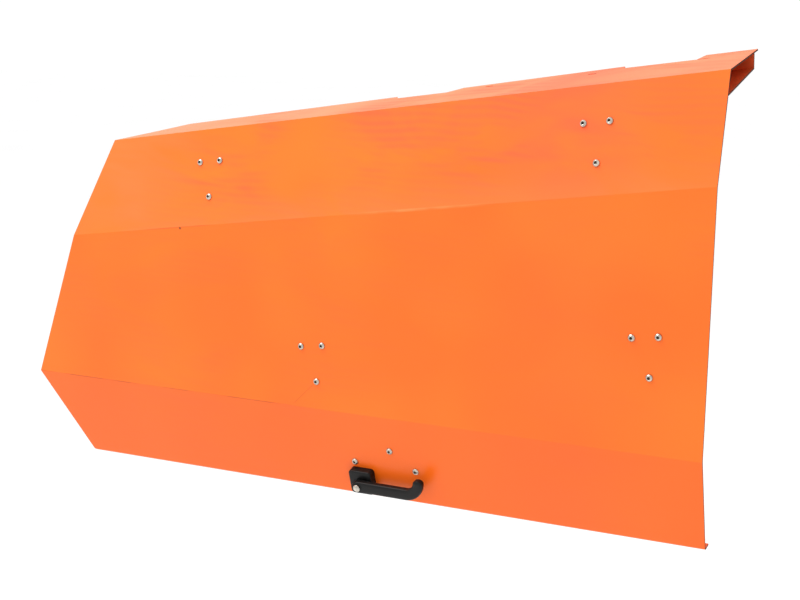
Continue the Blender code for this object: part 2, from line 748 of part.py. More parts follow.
def make_spindle(pivot, finish):
    """Round barrel with a square at each end, bored through for the pivot bolt."""
    barrel = circle(SPINDLE_DIAMETER / 2)
    square = polygon(SPINDLE_SQUARE, 4)
    bore = circle(PIVOT_DIAMETER / 2 + GAP)
    front = HOUSING_DEPTH
    rear = -(tongue_front() - GAP)
    front_end = front + RUNNING_GAP + LEVER_SOCKET_DEPTH - GAP
    rear_end = rear - TONGUE_THICKNESS
    rings = [
        (square, rear_end),
        (square, rear),
        (barrel, rear),
        (barrel, front),
        (square, front),
        (square, front_end),
        (bore, front_end),
        (bore, rear_end),
    ]
    new_object("latch_spindle", ring_mesh("latch_spindle", rings, through=True), pivot, finish)


def make_tongue(pivot, finish):
    """Flat tongue behind the panel, pointing up while the lever lies level."""
    hub = SPINDLE_SQUARE / 2 ** 0.5 + TONGUE_WALL
    discs = [(0.0, 0.0, hub), (0.0, TONGUE_LENGTH - TONGUE_END_RADIUS, TONGUE_END_RADIUS)]
    front = -tongue_front()
    back = front - TONGUE_THICKNESS
    tongue = new_object("latch_tongue", hull_mesh("latch_tongue", discs, back, front), pivot, finish)
    square = polygon(SPINDLE_SQUARE + 2 * GAP, 4)
    cut = prisms_mesh("tongue_cut", [(square, back - CUT_MARGIN, front + CUT_MARGIN, None)])
    boolean(tongue, "DIFFERENCE", new_object("tongue_cut", cut, pivot))


def make_pivot_fasteners(pivot, finish):
    """Pivot bolt through lever, spindle and tongue, with its washer and nut behind."""
    seat = HOUSING_DEPTH + RUNNING_GAP + LEVER_THICKNESS + GAP
    washer_top = -(tongue_front() + TONGUE_THICKNESS + GAP)
    nut_top = washer_top - WASHER_THICKNESS - GAP
    end = nut_top - NUT_HEIGHT - SCREW_END
    shank = circle(PIVOT_DIAMETER / 2)
    rings = [(shank, end - seat), (shank, 0.0)]
    rings += head_rings(PIVOT_HEAD_DIAMETER, PIVOT_HEAD_HEIGHT)
    bolt = ring_mesh("latch_pivot_bolt", rings)
    new_object("latch_pivot_bolt", bolt, pivot, finish, Matrix.Translation((0, 0, seat)))
    flipped = Matrix.Rotation(pi, 4, "X")
    washer_place = Matrix.Translation((0, 0, washer_top)) @ flipped
    washer = washer_mesh("tongue_washer", PIVOT_DIAMETER)
    new_object("tongue_washer", washer, pivot, finish, washer_place)
    nut_place = Matrix.Translation((0, 0, nut_top)) @ flipped
    nut = nut_mesh("tongue_nut", PIVOT_DIAMETER)
    new_object("tongue_nut", nut, pivot, finish, nut_place)


def make_latch(root, plastic, plated):
    place = latch_place()
    make_housing(root, place, plastic)
    make_latch_plate(root, place, plated, plated)
    make_housing_screws(root, place, plated)
    pivot = bpy.data.objects.new("latch_pivot", None)
    bpy.context.scene.collection.objects.link(pivot)
    pivot.parent = root
    pivot.matrix_local = place
    make_lever(pivot, plastic)
    make_spindle(pivot, plated)
    make_tongue(pivot, plated)
    make_pivot_fasteners(pivot, plated)


def main():
    for thing in list(bpy.data.objects):
        bpy.data.objects.remove(thing)
    paint = material("orange_powder_coat", (1.0, 0.216, 0.042), 0.35, 0.0)
    black = material("black_powder_coat", (0.02, 0.02, 0.022), 0.5, 0.0)
    plated = material("zinc_plated_steel", (0.62, 0.62, 0.60), 0.3, 1.0)
    plastic = material("black_moulded_nylon", (0.012, 0.012, 0.013), 0.45, 0.0)
    places = bracket_places()
    first_centre = places[0][2].translation
    root = bpy.data.objects.new("blade_root", None)
    bpy.context.scene.collection.objects.link(root)
    root.location = (-first_centre.x, -SEAT_DEPTH, -first_centre.z)
    make_panel(root, paint)
    make_end_box(root, paint)
    for name, facet, place in places:
        make_bracket(root, name, facet, place, black, plated)
    make_latch(root, plastic, plated)


main()
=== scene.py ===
# %% [markdown]
# # A folded steel blade panel, finished for the showroom
#
# The CAD model already gives every part its true size and place. This lesson puts the real
# surfaces on it: baked powder coat on folded sheet, sheared edges, plated screws, weld beads
# and a moulded nylon lever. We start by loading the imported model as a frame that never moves.

import json
from math import cos, pi, radians, sin

import bmesh
import bpy
from mathutils import Matrix, Vector
from mathutils.bvhtree import BVHTree


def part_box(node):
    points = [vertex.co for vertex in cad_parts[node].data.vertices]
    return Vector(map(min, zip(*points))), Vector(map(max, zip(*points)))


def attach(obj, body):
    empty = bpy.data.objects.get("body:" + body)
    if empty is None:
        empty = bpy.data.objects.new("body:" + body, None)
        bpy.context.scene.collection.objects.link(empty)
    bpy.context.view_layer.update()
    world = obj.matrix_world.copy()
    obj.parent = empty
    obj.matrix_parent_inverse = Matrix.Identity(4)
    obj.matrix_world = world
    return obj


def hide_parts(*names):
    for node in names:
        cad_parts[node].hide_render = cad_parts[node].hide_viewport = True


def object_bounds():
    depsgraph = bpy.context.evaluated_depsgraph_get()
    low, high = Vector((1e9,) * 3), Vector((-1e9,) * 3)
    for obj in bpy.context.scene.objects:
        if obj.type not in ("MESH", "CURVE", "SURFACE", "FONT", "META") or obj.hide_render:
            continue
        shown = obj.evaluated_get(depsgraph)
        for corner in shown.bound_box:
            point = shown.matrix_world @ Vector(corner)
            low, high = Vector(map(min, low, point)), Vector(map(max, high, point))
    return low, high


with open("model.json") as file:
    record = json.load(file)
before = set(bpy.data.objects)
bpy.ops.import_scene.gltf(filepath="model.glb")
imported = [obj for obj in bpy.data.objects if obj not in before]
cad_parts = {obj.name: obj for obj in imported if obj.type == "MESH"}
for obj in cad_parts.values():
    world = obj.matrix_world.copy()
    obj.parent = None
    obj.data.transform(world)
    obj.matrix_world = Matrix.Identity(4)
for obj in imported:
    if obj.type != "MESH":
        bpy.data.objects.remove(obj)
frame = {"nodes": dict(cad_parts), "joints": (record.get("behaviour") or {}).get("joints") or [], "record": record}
cad_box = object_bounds()
nodes = frame["nodes"]

# %% [markdown]
# ## Small helpers
#
# Colours are written as hex values, the way a paint card gives them, and turned to the linear
# values that a renderer needs. One function adds any node, with its settings and its links,
# for materials and Geometry Nodes alike. Scales are worked out from real sizes in millimetres.

# %% Colour and scale
MM = 0.001


def linear(hex_colour):
    """Linear RGBA of an sRGB hex colour."""
    values = [int(hex_colour[i:i + 2], 16) / 255 for i in (1, 3, 5)]
    channels = [v / 12.92 if v <= 0.04045 else ((v + 0.055) / 1.055) ** 2.4 for v in values]
    return (*channels, 1.0)


def per_metre(millimetres):
    """Texture scale whose features are about this far apart."""
    return 1.0 / (millimetres * MM)


print("one millimetre of pattern has scale", per_metre(1.0))

# %% Add a node and plug its inputs
MATH = "ShaderNodeMath"
RANGE = "ShaderNodeMapRange"
NOISE = "ShaderNodeTexNoise"
BUMP = "ShaderNodeBump"


def plug(tree, node, inputs):
    """Set a node's inputs, by name or in order, to values, hex colours, sockets or nodes."""
    pairs = inputs.items() if isinstance(inputs, dict) else enumerate(inputs)
    for key, value in pairs:
        named = (s for s in node.inputs if s.enabled and s.name == key)
        socket = node.inputs[key] if isinstance(key, int) else next(named)
        if isinstance(value, bpy.types.Node):
            value = next(s for s in value.outputs if s.enabled)
        if isinstance(value, bpy.types.NodeSocket):
            tree.links.new(value, socket)
        elif isinstance(value, str) and value.startswith("#"):
            socket.default_value = linear(value)
        else:
            socket.default_value = value


def add(tree, kind, inputs=(), **settings):
    """Add a node with its settings, and plug its inputs."""
    node = tree.nodes.new(kind)
    for name, value in settings.items():
        setattr(node, name, value)
    plug(tree, node, inputs)
    return node


# %% New material, and two shades shared out by a pattern
def new_material(name, finish):
    """Material with its shader's constants set, its tree and its Object coordinates."""
    made = bpy.data.materials.new(name)
    made.use_nodes = True
    tree = made.node_tree
    shader = tree.nodes["Principled BSDF"]
    plug(tree, shader, finish)
    return made, tree, shader, add(tree, "ShaderNodeTexCoord").outputs["Object"]


def mottle(tree, pattern, low, high, first, second, most=1.0):
    """Two shades; the second's share grows to its most between two values of a pattern."""
    share = add(tree, RANGE, [pattern, low, high, 0.0, most])
    inputs = {"Factor": share, "A": first, "B": second}
    return add(tree, "ShaderNodeMix", inputs, data_type="RGBA")


print("new materials start from", bpy.app.version_string, "defaults")

# %% [markdown]
# ## Reading the frame
#
# The latch turns on a slanted axis, so its parts are easiest to model in a frame of their own:
# x along the lower fold, y up the lower facet, z out of the front along the joint's axis.
# Screws need the facet they sit on. A ray cast onto the CAD panel beside each screw gives the
# facet's own direction, and the mean of the screw's corners lies on its axis.

# %% Latch frame
joint = frame["joints"][0]
latch_out = Vector(joint["axis"]).normalized()
latch_up = latch_out.cross(Vector((1.0, 0.0, 0.0)))
latch = Matrix((Vector((1.0, 0.0, 0.0)), latch_up, latch_out)).transposed().to_4x4()
latch.translation = Vector(joint["pos_m"])
print("the latch points along", [round(v, 4) for v in latch_out])

# %% Rays onto the CAD, and fastener axes
skins = {}


def cast(name, start, direction):
    """Where a ray first meets a CAD node, and the direction that surface faces there."""
    if name not in skins:
        mesh = nodes[name].data
        corners = [v.co for v in mesh.vertices]
        skins[name] = BVHTree.FromPolygons(corners, [p.vertices for p in mesh.polygons])
    spot, normal, _, _ = skins[name].ray_cast(start, direction)
    return spot, normal


def facet_direction(spot):
    """Outward direction of the panel's front beside a spot."""
    start = Vector((spot.x + 13 * MM, cad_box[0][1] - 0.1, spot.z))
    _, normal = cast("blade_panel", start, Vector((0.0, 1.0, 0.0)))
    return normal or Vector((0.0, -1.0, 0.0))


def axis_of(name, direction=None):
    """Point on a fastener's axis, its direction, and its lowest and highest reach along it."""
    corners = [v.co for v in nodes[name].data.vertices]
    middle = sum(corners, Vector()) / len(corners)
    direction = direction or facet_direction(middle)
    reach = [(c - middle).dot(direction) for c in corners]
    return middle, direction, min(reach), max(reach)


screw_names = [n for n in nodes if "_screw_" in n and not n.startswith("housing")]
nut_names = [n for n in nodes if "_nut_" in n]
print(len(screw_names), "front screws,", len(nut_names), "flange nuts")

# %% [markdown]
# ## Orange powder coat
#
# Powder coat is ground polyester sprayed on dry and baked at about 190 degrees, so it flows
# into a skin 70 micrometres thick with a soft gloss and a fine orange-peel texture. Large
# sheet is never quite flat either: slow waves 240 mm long move the reflections about. Hands
# and cloths leave wiped haze, and the ridge of a fold loses some of its colour. The paler
# patches over the upper facet and the left end are painted light.
# The peel's real pitch of 1.5 mm is drawn at 4 mm, or it would vanish at this distance.
#
# The coat could be painted as an image, but then it would be tied to one unwrapping. Patterns
# on Object coordinates need none, and a line across the panel is simply a height of zero
# above it, so the folds can be given as lines and the marks placed along them.

# %% Lines and places on the panel
FRONT = -0.095
FOLD_SLOPE = radians(6.83)
UPPER_FOLD_POINT = (-0.352, -0.13366)
LOWER_FOLD_POINT = (-0.480, -0.44966)
# A faint slanting crease, drawn as painted shade along it.
SLANT_CREASE_POINT = (0.200, -0.446)
SLANT_CREASE_SLOPE = radians(42.5)
CHIP_POINT = (-0.062, FRONT, -0.101)

# Where each mark starts and stops along the panel, and how softly, in metres.
WORN_STRETCH = (0.38, 0.60, 0.06)
# The next three windows hold painted shade along the folds and the slanting crease.
LOWER_FOLD_SHADE_REACH = (-0.50, 0.17, 0.03)
UPPER_FOLD_SHADE_REACH = (-0.14, 0.01, 0.02)
SLANT_SHADE_REACH = (0.203, 0.250, 0.004)
# Painted reflection: the haze turns pinker towards the right end.
PAINTED_REFLECTION_END = (0.66, 0.92, 0.10)
# Painted light: paler over the left end.
PAINTED_LIGHT_END = (-0.60, -0.10, 0.08)


def line_height(tree, place, point, slope):
    """Height above a line through a point (x, z), rising at a slope to the right."""
    across = (-sin(slope), 0.0, cos(slope))
    dot = add(tree, "ShaderNodeVectorMath", [place, across], operation="DOT_PRODUCT")
    level = across[0] * point[0] + across[2] * point[1]
    return add(tree, MATH, [dot, level], operation="SUBTRACT")


def stroke(tree, height, width):
    """One on a line, falling to zero at half a width to either side."""
    distance = add(tree, MATH, [height], operation="ABSOLUTE")
    return add(tree, RANGE, [distance, 0.15 * width, 0.5 * width, 1.0, 0.0])


def window(tree, value, first, last, soft):
    """One between two places along the panel, with soft ends."""
    rise = add(tree, RANGE, [value, first - soft, first + soft])
    fall = add(tree, RANGE, [value, last - soft, last + soft, 1.0, 0.0])
    return add(tree, MATH, [rise, fall], operation="MULTIPLY")


print("the upper fold rises 1 in", round(1 / sin(FOLD_SLOPE), 1), "to the right")

# %% [markdown]
# ## Haze, marks, painted light and shade
#
# A cloth that is drawn over the panel leaves haze in sweeps. On the panel the haze is kept
# mostly to the facet that leans back and made pinker towards its right end, as a painted sky
# reflection, and paler right above the fold and over the left end, as painted light. The lower
# facet is painted deeper as painted shade. The folds carry a short rubbed stretch and one chip,
# and painted shade in dark lines along the left of both folds and one faint slanting crease.
# Noise alone would put marks anywhere, so each is a line or a spot with a place of its own, and
# noise only roughens it, so that it looks worn and not ruled.

# %% Haze left by a cloth, with painted reflection and painted light
# A wave texture of scale one repeats after this length, so it turns a width into a scale.
WAVE_PERIOD = 2 * pi / 20


def wiped_haze(tree, place):
    """Cloudy pattern of the wiping, and the haze that follows it."""
    broad = {"Vector": place, "Scale": per_metre(420.0), "Detail": 1.0, "Distortion": 0.5}
    broad = add(tree, NOISE, broad)
    swept = {"Vector": place, "Rotation": (0.0, 0.6, 0.0), "Scale": (0.45, 1.0, 1.3)}
    swept = add(tree, "ShaderNodeMapping", swept)
    wiped = {"Vector": swept, "Scale": per_metre(150.0), "Detail": 2.5, "Distortion": 1.6}
    wiped = add(tree, NOISE, wiped)
    strokes = {
        "Vector": swept, "Scale": WAVE_PERIOD * per_metre(16.0), "Distortion": 9.0,
        "Detail": 2.0, "Detail Scale": 0.35,
    }
    strokes = add(tree, "ShaderNodeTexWave", strokes, bands_direction="DIAGONAL")
    broad = add(tree, RANGE, [broad, 0.34, 0.56])
    cloudy = add(tree, RANGE, [wiped, 0.36, 0.64])
    haze = add(tree, MATH, [broad, cloudy], operation="MULTIPLY")
    strokes = add(tree, RANGE, [strokes.outputs["Fac"], 0.0, 1.0, 0.62, 1.0])
    return wiped, add(tree, MATH, [haze, strokes], operation="MULTIPLY")


def haze_with_painted_reflection(tree, haze, wiped, upper, along):
    """Haze kept mostly to the upper facet and pinker towards its right end, as a painted sky reflection."""
    # Painted sky reflection: the haze is kept mostly to the upper facet, which faces the sky.
    facet = add(tree, RANGE, [upper, -2.0 * MM, 2.0 * MM, 0.22, 1.0])
    haze = add(tree, MATH, [haze, facet], operation="MULTIPLY")
    # Pinker towards the right end, a painted reflection.
    pink = window(tree, along, *PAINTED_REFLECTION_END)
    pink = add(tree, MATH, [pink, facet], operation="MULTIPLY")
    cloudy = add(tree, RANGE, [wiped, 0.25, 0.6, 0.35, 1.0])
    pink = add(tree, MATH, [pink, cloudy], operation="MULTIPLY")
    return add(tree, MATH, [haze, pink], operation="MAXIMUM")


def painted_light_patches(tree, wiped, upper, along):
    """Painted light: paler in a band above the upper fold and over the left end, broken up by the wiping."""
    band = add(tree, RANGE, [upper, 0.0, 60.0 * MM, 0.8, 0.0])
    end = window(tree, along, *PAINTED_LIGHT_END)
    pale = add(tree, MATH, [band, end], operation="MAXIMUM")
    above_fold = add(tree, RANGE, [upper, 0.0, 1.0 * MM])
    pale = add(tree, MATH, [pale, above_fold], operation="MULTIPLY")
    cloudy = add(tree, RANGE, [wiped, 0.3, 0.6, 0.25, 0.9])
    return add(tree, MATH, [pale, cloudy], operation="MULTIPLY")


print("pink haze from", PAINTED_REFLECTION_END[0], "to", PAINTED_REFLECTION_END[1], "m along the panel")


# %% Worn stretch, painted shade along the folds, and chip
ORANGE_RUBBED = "#FF9A5A"
# Dark orange for the painted shade along the folds and the slanting crease.
FOLD_SHADE_PAINTED = "#A23A0A"
CHIP_DARK = "#6A2A0E"


def worn_stretch(tree, upper, along, patches):
    """Rubbed stretch on the right of the upper fold."""
    worn = add(tree, MATH, [stroke(tree, upper, 7.0 * MM), patches], operation="MULTIPLY")
    reach = window(tree, along, *WORN_STRETCH)
    return add(tree, MATH, [worn, reach], operation="MULTIPLY")


def painted_shade_lines(tree, place, upper, lower, along, patches):
    """Painted shade in dark lines on the left of both folds and along a slanting crease, on the front only."""
    long_line = add(tree, MATH, [stroke(tree, lower, 3.2 * MM), patches], operation="MULTIPLY")
    reach = window(tree, along, *LOWER_FOLD_SHADE_REACH)
    long_line = add(tree, MATH, [long_line, reach], operation="MULTIPLY")
    short_line = add(tree, MATH, [stroke(tree, upper, 3.0 * MM), patches], operation="MULTIPLY")
    reach = window(tree, along, *UPPER_FOLD_SHADE_REACH)
    short_line = add(tree, MATH, [short_line, reach], operation="MULTIPLY")
    short_line = add(tree, MATH, [short_line, 0.7], operation="MULTIPLY")
    slant = stroke(tree, line_height(tree, place, SLANT_CREASE_POINT, SLANT_CREASE_SLOPE), 2.6 * MM)
    slant = add(tree, MATH, [slant, 0.6], operation="MULTIPLY")
    reach = window(tree, along, *SLANT_SHADE_REACH)
    slant = add(tree, MATH, [slant, reach], operation="MULTIPLY")
    dark = add(tree, MATH, [long_line, short_line], operation="MAXIMUM")
    dark = add(tree, MATH, [dark, slant], operation="MAXIMUM")
    depth = add(tree, "ShaderNodeSeparateXYZ", [place]).outputs["Y"]
    front_only = add(tree, RANGE, [depth, FRONT + 0.5 * MM, FRONT + 1.5 * MM, 1.0, 0.0])
    return add(tree, MATH, [dark, front_only], operation="MULTIPLY")


def chip_spot(tree, place):
    """Strong inside a ragged chip about 5 mm across, and nothing outside it."""
    away = add(tree, "ShaderNodeVectorMath", [place, CHIP_POINT], operation="DISTANCE")
    ragged = add(tree, NOISE, {"Vector": place, "Scale": per_metre(5.0)})
    ragged = add(tree, RANGE, [ragged, 0.3, 0.7, -1.5 * MM, 1.5 * MM])
    away = add(tree, MATH, [away, ragged], operation="ADD")
    return add(tree, RANGE, [away, 2.0 * MM, 3.2 * MM, 0.8, 0.0])


def add_marks(tree, place, colour, upper, lower, along):
    """Lay the worn stretch, the painted shade along the folds and the chip over a colour."""
    patches = add(tree, NOISE, {"Vector": place, "Scale": per_metre(60.0)})
    patches = add(tree, RANGE, [patches, 0.35, 0.6, 0.15, 1.0])
    worn = worn_stretch(tree, upper, along, patches)
    colour = mottle(tree, worn, 0.0, 1.0, colour, ORANGE_RUBBED, most=0.42)
    # Painted shade along the folds and the slanting crease.
    dark = painted_shade_lines(tree, place, upper, lower, along, patches)
    colour = mottle(tree, dark, 0.0, 1.0, colour, FOLD_SHADE_PAINTED, most=0.55)
    return mottle(tree, chip_spot(tree, place), 0.0, 1.0, colour, CHIP_DARK)


print("the chip lies at", CHIP_POINT)


# %% Orange powder coat
ORANGE = "#F56A10"
ORANGE_WARM = "#F57214"
# Deeper orange: painted shade on the facet below the lower fold, which faces down.
ORANGE_PAINTED_SHADE = "#F55F06"
# Pinker haze colour; on the panel's upper facet it also serves as painted sky reflection.
ORANGE_HAZE_AND_PAINTED_SHEEN = "#F55C2C"
# Paler orange for the painted light above the upper fold and over the left end.
ORANGE_PAINTED_LIGHT = "#F97530"


def orange_coat(name, with_marks_and_painted_light):
    coat, tree, shader, place = new_material(name, {"IOR": 1.42})
    wiped, haze = wiped_haze(tree, place)
    warmth = add(tree, NOISE, {"Vector": place, "Scale": per_metre(260.0), "Detail": 1.0})
    colour = mottle(tree, warmth, 0.35, 0.65, ORANGE, ORANGE_WARM)
    if with_marks_and_painted_light:
        upper = line_height(tree, place, UPPER_FOLD_POINT, FOLD_SLOPE)
        lower = line_height(tree, place, LOWER_FOLD_POINT, 0.0)
        along = add(tree, "ShaderNodeSeparateXYZ", [place]).outputs["X"]
        # Wiped haze, with painted sky reflection on the upper facet and its right end.
        haze = haze_with_painted_reflection(tree, haze, wiped, upper, along)
        # Painted shade: the facet below the lower fold is painted deeper, as it faces down.
        painted_shade_lower_facet = add(tree, RANGE, [lower, -2.0 * MM, 2.0 * MM, 0.55, 0.0])
        colour = mottle(tree, painted_shade_lower_facet, 0.0, 1.0, colour, ORANGE_PAINTED_SHADE)
    colour = mottle(tree, haze, 0.0, 1.0, colour, ORANGE_HAZE_AND_PAINTED_SHEEN, most=0.85)
    if with_marks_and_painted_light:
        # Painted light: paler above the upper fold and over the left end.
        pale = painted_light_patches(tree, wiped, upper, along)
        colour = mottle(tree, pale, 0.0, 1.0, colour, ORANGE_PAINTED_LIGHT)
        colour = add_marks(tree, place, colour, upper, lower, along)
    gloss = add(tree, RANGE, [haze, 0.0, 1.0, 0.32, 0.46])
    waves = {"Vector": place, "Scale": per_metre(240.0), "Detail": 1.0, "Distortion": 0.4}
    waves = add(tree, NOISE, waves)
    slow = add(tree, BUMP, {"Height": waves, "Strength": 0.3, "Distance": 1.0 * MM})
    peel = add(tree, NOISE, {"Vector": place, "Scale": per_metre(4.0), "Detail": 1.0})
    fine = {"Height": peel, "Strength": 0.18, "Distance": 0.05 * MM, "Normal": slow}
    fine = add(tree, BUMP, fine)
    plug(tree, shader, {"Base Color": colour, "Roughness": gloss, "Normal": fine})
    return coat


baked_orange_with_painted_light = orange_coat("polyester_powder_coat_on_folded_sheet", with_marks_and_painted_light=True)
baked_orange_box = orange_coat("polyester_powder_coat_on_bent_plate", with_marks_and_painted_light=False)
print("made", baked_orange_with_painted_light.name, "and", baked_orange_box.name)

# %% [markdown]
# ## Painted shade inside the box
#
# The inside of the narrow box is in shade, and that shade is painted on its inner walls, darker
# and rougher than the outside. It is a material of its own: two darker oranges in patches 22 mm
# apart, with a dusty grain.

# %% Painted shade inside the box
painted_shade_inside_box, tree, shader, place = new_material("thin_powder_coat_inside_box", {"Roughness": 0.6})
fade = add(tree, NOISE, {"Vector": place, "Scale": per_metre(22.0), "Detail": 3.0})
# Two darker oranges: painted shade on the inner walls.
colour = mottle(tree, fade, 0.3, 0.7, "#A83C08", "#C04C0E")
dust = add(tree, NOISE, {"Vector": place, "Scale": per_metre(3.0)})
relief = add(tree, BUMP, {"Height": dust, "Strength": 0.3, "Distance": 0.1 * MM})
plug(tree, shader, {"Base Color": colour, "Normal": relief})
print("made", painted_shade_inside_box.name)

# %% [markdown]
# ## Sheared edge in painted shade
#
# The shear and the laser leave a sharp rim. Its shade is painted on: the rim is dark brown, so
# it reads as a brown line. Rim and face could share one material with a painted mask, but the
# rim's faces are easy to pick out, so they simply get a finish of their own.

# %% Painted shade on a sheared edge
painted_shade_on_rims, tree, shader, place = new_material(
    "thin_powder_coat_on_sheared_edge", {"Roughness": 0.7, "Specular IOR Level": 0.2}
)
grain = add(tree, NOISE, {"Vector": place, "Scale": per_metre(9.0), "Detail": 3.0})
# Dark browns: painted shade on the rim.
colour = mottle(tree, grain, 0.35, 0.7, "#2C150A", "#55290F")
relief = add(tree, BUMP, {"Height": grain, "Strength": 0.3, "Distance": 0.1 * MM})
plug(tree, shader, {"Base Color": colour, "Normal": relief})
print("made", painted_shade_on_rims.name)

# %% [markdown]
# ## Black powder coat with rubbed seats
#
# The hook brackets are laser-cut plate, welded and coated satin black. Where the vehicle's
# pins bear, inside each hook's slot, the coat is rubbed down to bright steel. That is another
# material on the slot's faces, because bare metal and paint have hardly a setting in common.

# %% Black powder coat
black_coat, tree, shader, place = new_material("satin_black_powder_coat", {"IOR": 1.5})
peel = add(tree, NOISE, {"Vector": place, "Scale": per_metre(3.0)})
patch = add(tree, NOISE, {"Vector": place, "Scale": per_metre(35.0), "Detail": 3.0})
colour = mottle(tree, patch, 0.35, 0.7, "#17181A", "#232426")
gloss = add(tree, RANGE, [patch, 0.3, 0.7, 0.40, 0.55])
relief = add(tree, BUMP, {"Height": peel, "Strength": 0.25, "Distance": 0.06 * MM})
plug(tree, shader, {"Base Color": colour, "Roughness": gloss, "Normal": relief})
print("made", black_coat.name)

# %% Steel rubbed bright in the slots
# The pins draw lines that lie 0.24 mm apart from front to back, and run on for 40 mm across
# and 12 mm downwards.
rubbed_steel, tree, shader, place = new_material("steel_rubbed_bright_by_pins", {"Metallic": 1.0})
drawn_out = {"Vector": place, "Scale": (per_metre(40.0), per_metre(0.24), per_metre(12.0))}
drawn_out = add(tree, "ShaderNodeMapping", drawn_out)
lines = add(tree, NOISE, {"Vector": drawn_out, "Scale": 1.0, "Detail": 3.0})
colour = mottle(tree, lines, 0.35, 0.65, "#8C8E90", "#B9BBBC")
gloss = add(tree, RANGE, [lines, 0.3, 0.7, 0.25, 0.45])
plug(tree, shader, {"Base Color": colour, "Roughness": gloss})
print("made", rubbed_steel.name)

# %% [markdown]
# ## Bright zinc plating
#
# Plated screws and nuts are steel with 8 micrometres of zinc, passivated clear. The finish is
# a bright, slightly warm metal in this light, with cloudy patches a few millimetres wide. One
# grey would look like painted plastic, so the clouds change both its colour and its gloss.

# %% Bright zinc plating
zinc, tree, shader, place = new_material("bright_zinc_plating", {"Metallic": 1.0})
clouds = {"Vector": place, "Scale": per_metre(6.0), "Detail": 3.0, "Distortion": 0.5}
clouds = add(tree, NOISE, clouds)
colour = mottle(tree, clouds, 0.3, 0.7, "#D2CABC", "#A9A59D")
gloss = add(tree, RANGE, [clouds, 0.3, 0.7, 0.18, 0.34])
grit = add(tree, NOISE, {"Vector": place, "Scale": per_metre(0.8), "Detail": 1.0})
relief = add(tree, BUMP, {"Height": grit, "Strength": 0.07, "Distance": 0.03 * MM})
plug(tree, shader, {"Base Color": colour, "Roughness": gloss, "Normal": relief})
print("made", zinc.name)

# %% [markdown]
# ## Painted shade in the sockets
#
# The hexagon sockets lie in shade, which is what makes a screw's middle look dark from a
# distance. A deep shadow alone wouldn't do it under such even light, so the shade is painted on:
# the socket's faces get a dull brown with specks about 1.5 mm apart.

# %% Painted shade in the sockets
painted_shade_in_socket, tree, shader, place = new_material("oily_grime_in_a_socket", {"Roughness": 0.6})
specks = add(tree, NOISE, {"Vector": place, "Scale": per_metre(1.5), "Detail": 3.0})
# Dull browns: painted shade in the socket.
colour = mottle(tree, specks, 0.35, 0.7, "#2C2018", "#4E3A2C")
relief = add(tree, BUMP, {"Height": specks, "Strength": 0.4, "Distance": 0.05 * MM})
plug(tree, shader, {"Base Color": colour, "Normal": relief})
print("made", painted_shade_in_socket.name)

# %% [markdown]
# ## Moulded nylon
#
# The lever and its block are glass-filled nylon, moulded in a spark-eroded tool. The tool
# leaves a fine even grain, about 0.3 mm across, drawn here at 0.9 mm so that it shows. Hands
# polish the grip a little, which is seen as slow changes in its gloss. The grain shades itself,
# so less light comes back straight off the surface than nylon's index alone would give. It is
# bump and not geometry, because grains this small would cost millions of faces.

# %% Moulded nylon
nylon, tree, shader, place = new_material(
    "glass_filled_nylon_moulding", {"IOR": 1.53, "Specular IOR Level": 0.2}
)
handling = add(tree, NOISE, {"Vector": place, "Scale": per_metre(28.0)})
grain = add(tree, NOISE, {"Vector": place, "Scale": per_metre(0.9)})
colour = mottle(tree, handling, 0.35, 0.7, "#0B0B0B", "#131211")
gloss = add(tree, RANGE, [handling, 0.3, 0.7, 0.34, 0.50])
relief = add(tree, BUMP, {"Height": grain, "Strength": 0.35, "Distance": 0.05 * MM})
plug(tree, shader, {"Base Color": colour, "Roughness": gloss, "Normal": relief})
print("made", nylon.name)

# %% [markdown]
# ## Broken edges on the plates
#
# No cut plate has a perfectly sharp corner: a tumbler or a file takes off about half a
# millimetre. The CAD mesh is loose triangles, so a copy is merged, its flat faces are joined
# up, and every hard corner is bevelled. The rim of a sheet is told from its faces by looking
# inwards: behind a face the far side is one sheet thickness away, behind a rim it isn't.

# %% Merge and bevel a copy of a CAD node
SHARPEST_KEPT = radians(40.0)


def broken_copy(node, name, width, sharpest=SHARPEST_KEPT):
    """Merged copy of a CAD node with its hard corners broken to a width."""
    bm = bmesh.new()
    bm.from_mesh(nodes[node].data)
    bmesh.ops.remove_doubles(bm, verts=bm.verts, dist=0.01 * MM)
    bmesh.ops.dissolve_limit(bm, angle_limit=radians(0.4), verts=bm.verts, edges=bm.edges)
    hard = [e for e in bm.edges if len(e.link_faces) == 2 and e.calc_face_angle() > sharpest]
    bmesh.ops.bevel(
        bm, geom=hard, offset=width, segments=2, profile=0.6, affect="EDGES", clamp_overlap=True
    )
    mesh = bpy.data.meshes.new(name)
    bm.to_mesh(mesh)
    bm.free()
    return mesh


def mark_rim(node, mesh, thickness):
    """Second material on the faces whose far side is more than a sheet thickness away."""
    count = 0
    for face in mesh.polygons:
        start = face.center - face.normal * 0.05 * MM
        far_side, _ = cast(node, start, -face.normal)
        if far_side and (far_side - start).length > thickness * 1.6:
            face.material_index = 1
            count += 1
    return count


# %% Hand a finished piece to the frame
def hand_over(name, mesh, body, stands_for):
    """Piece that rides on a body, and may stand for CAD nodes."""
    piece = bpy.data.objects.new(name, mesh)
    bpy.context.scene.collection.objects.link(piece)
    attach(piece, body)
    if stands_for:
        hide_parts(*stands_for)
    return piece


def shaded(mesh, materials, smooth):
    """Give a mesh its materials, and smooth shading up to an angle in degrees."""
    for finish in materials:
        mesh.materials.append(finish)
    mesh.shade_smooth()
    mesh.set_sharp_from_angle(angle=radians(smooth))
    return mesh


def weighted(piece):
    """Let the large flat faces set the shading, so that narrow bevels carry the curve."""
    normals = piece.modifiers.new("flat_faces_lead", "WEIGHTED_NORMAL")
    normals.keep_sharp = True


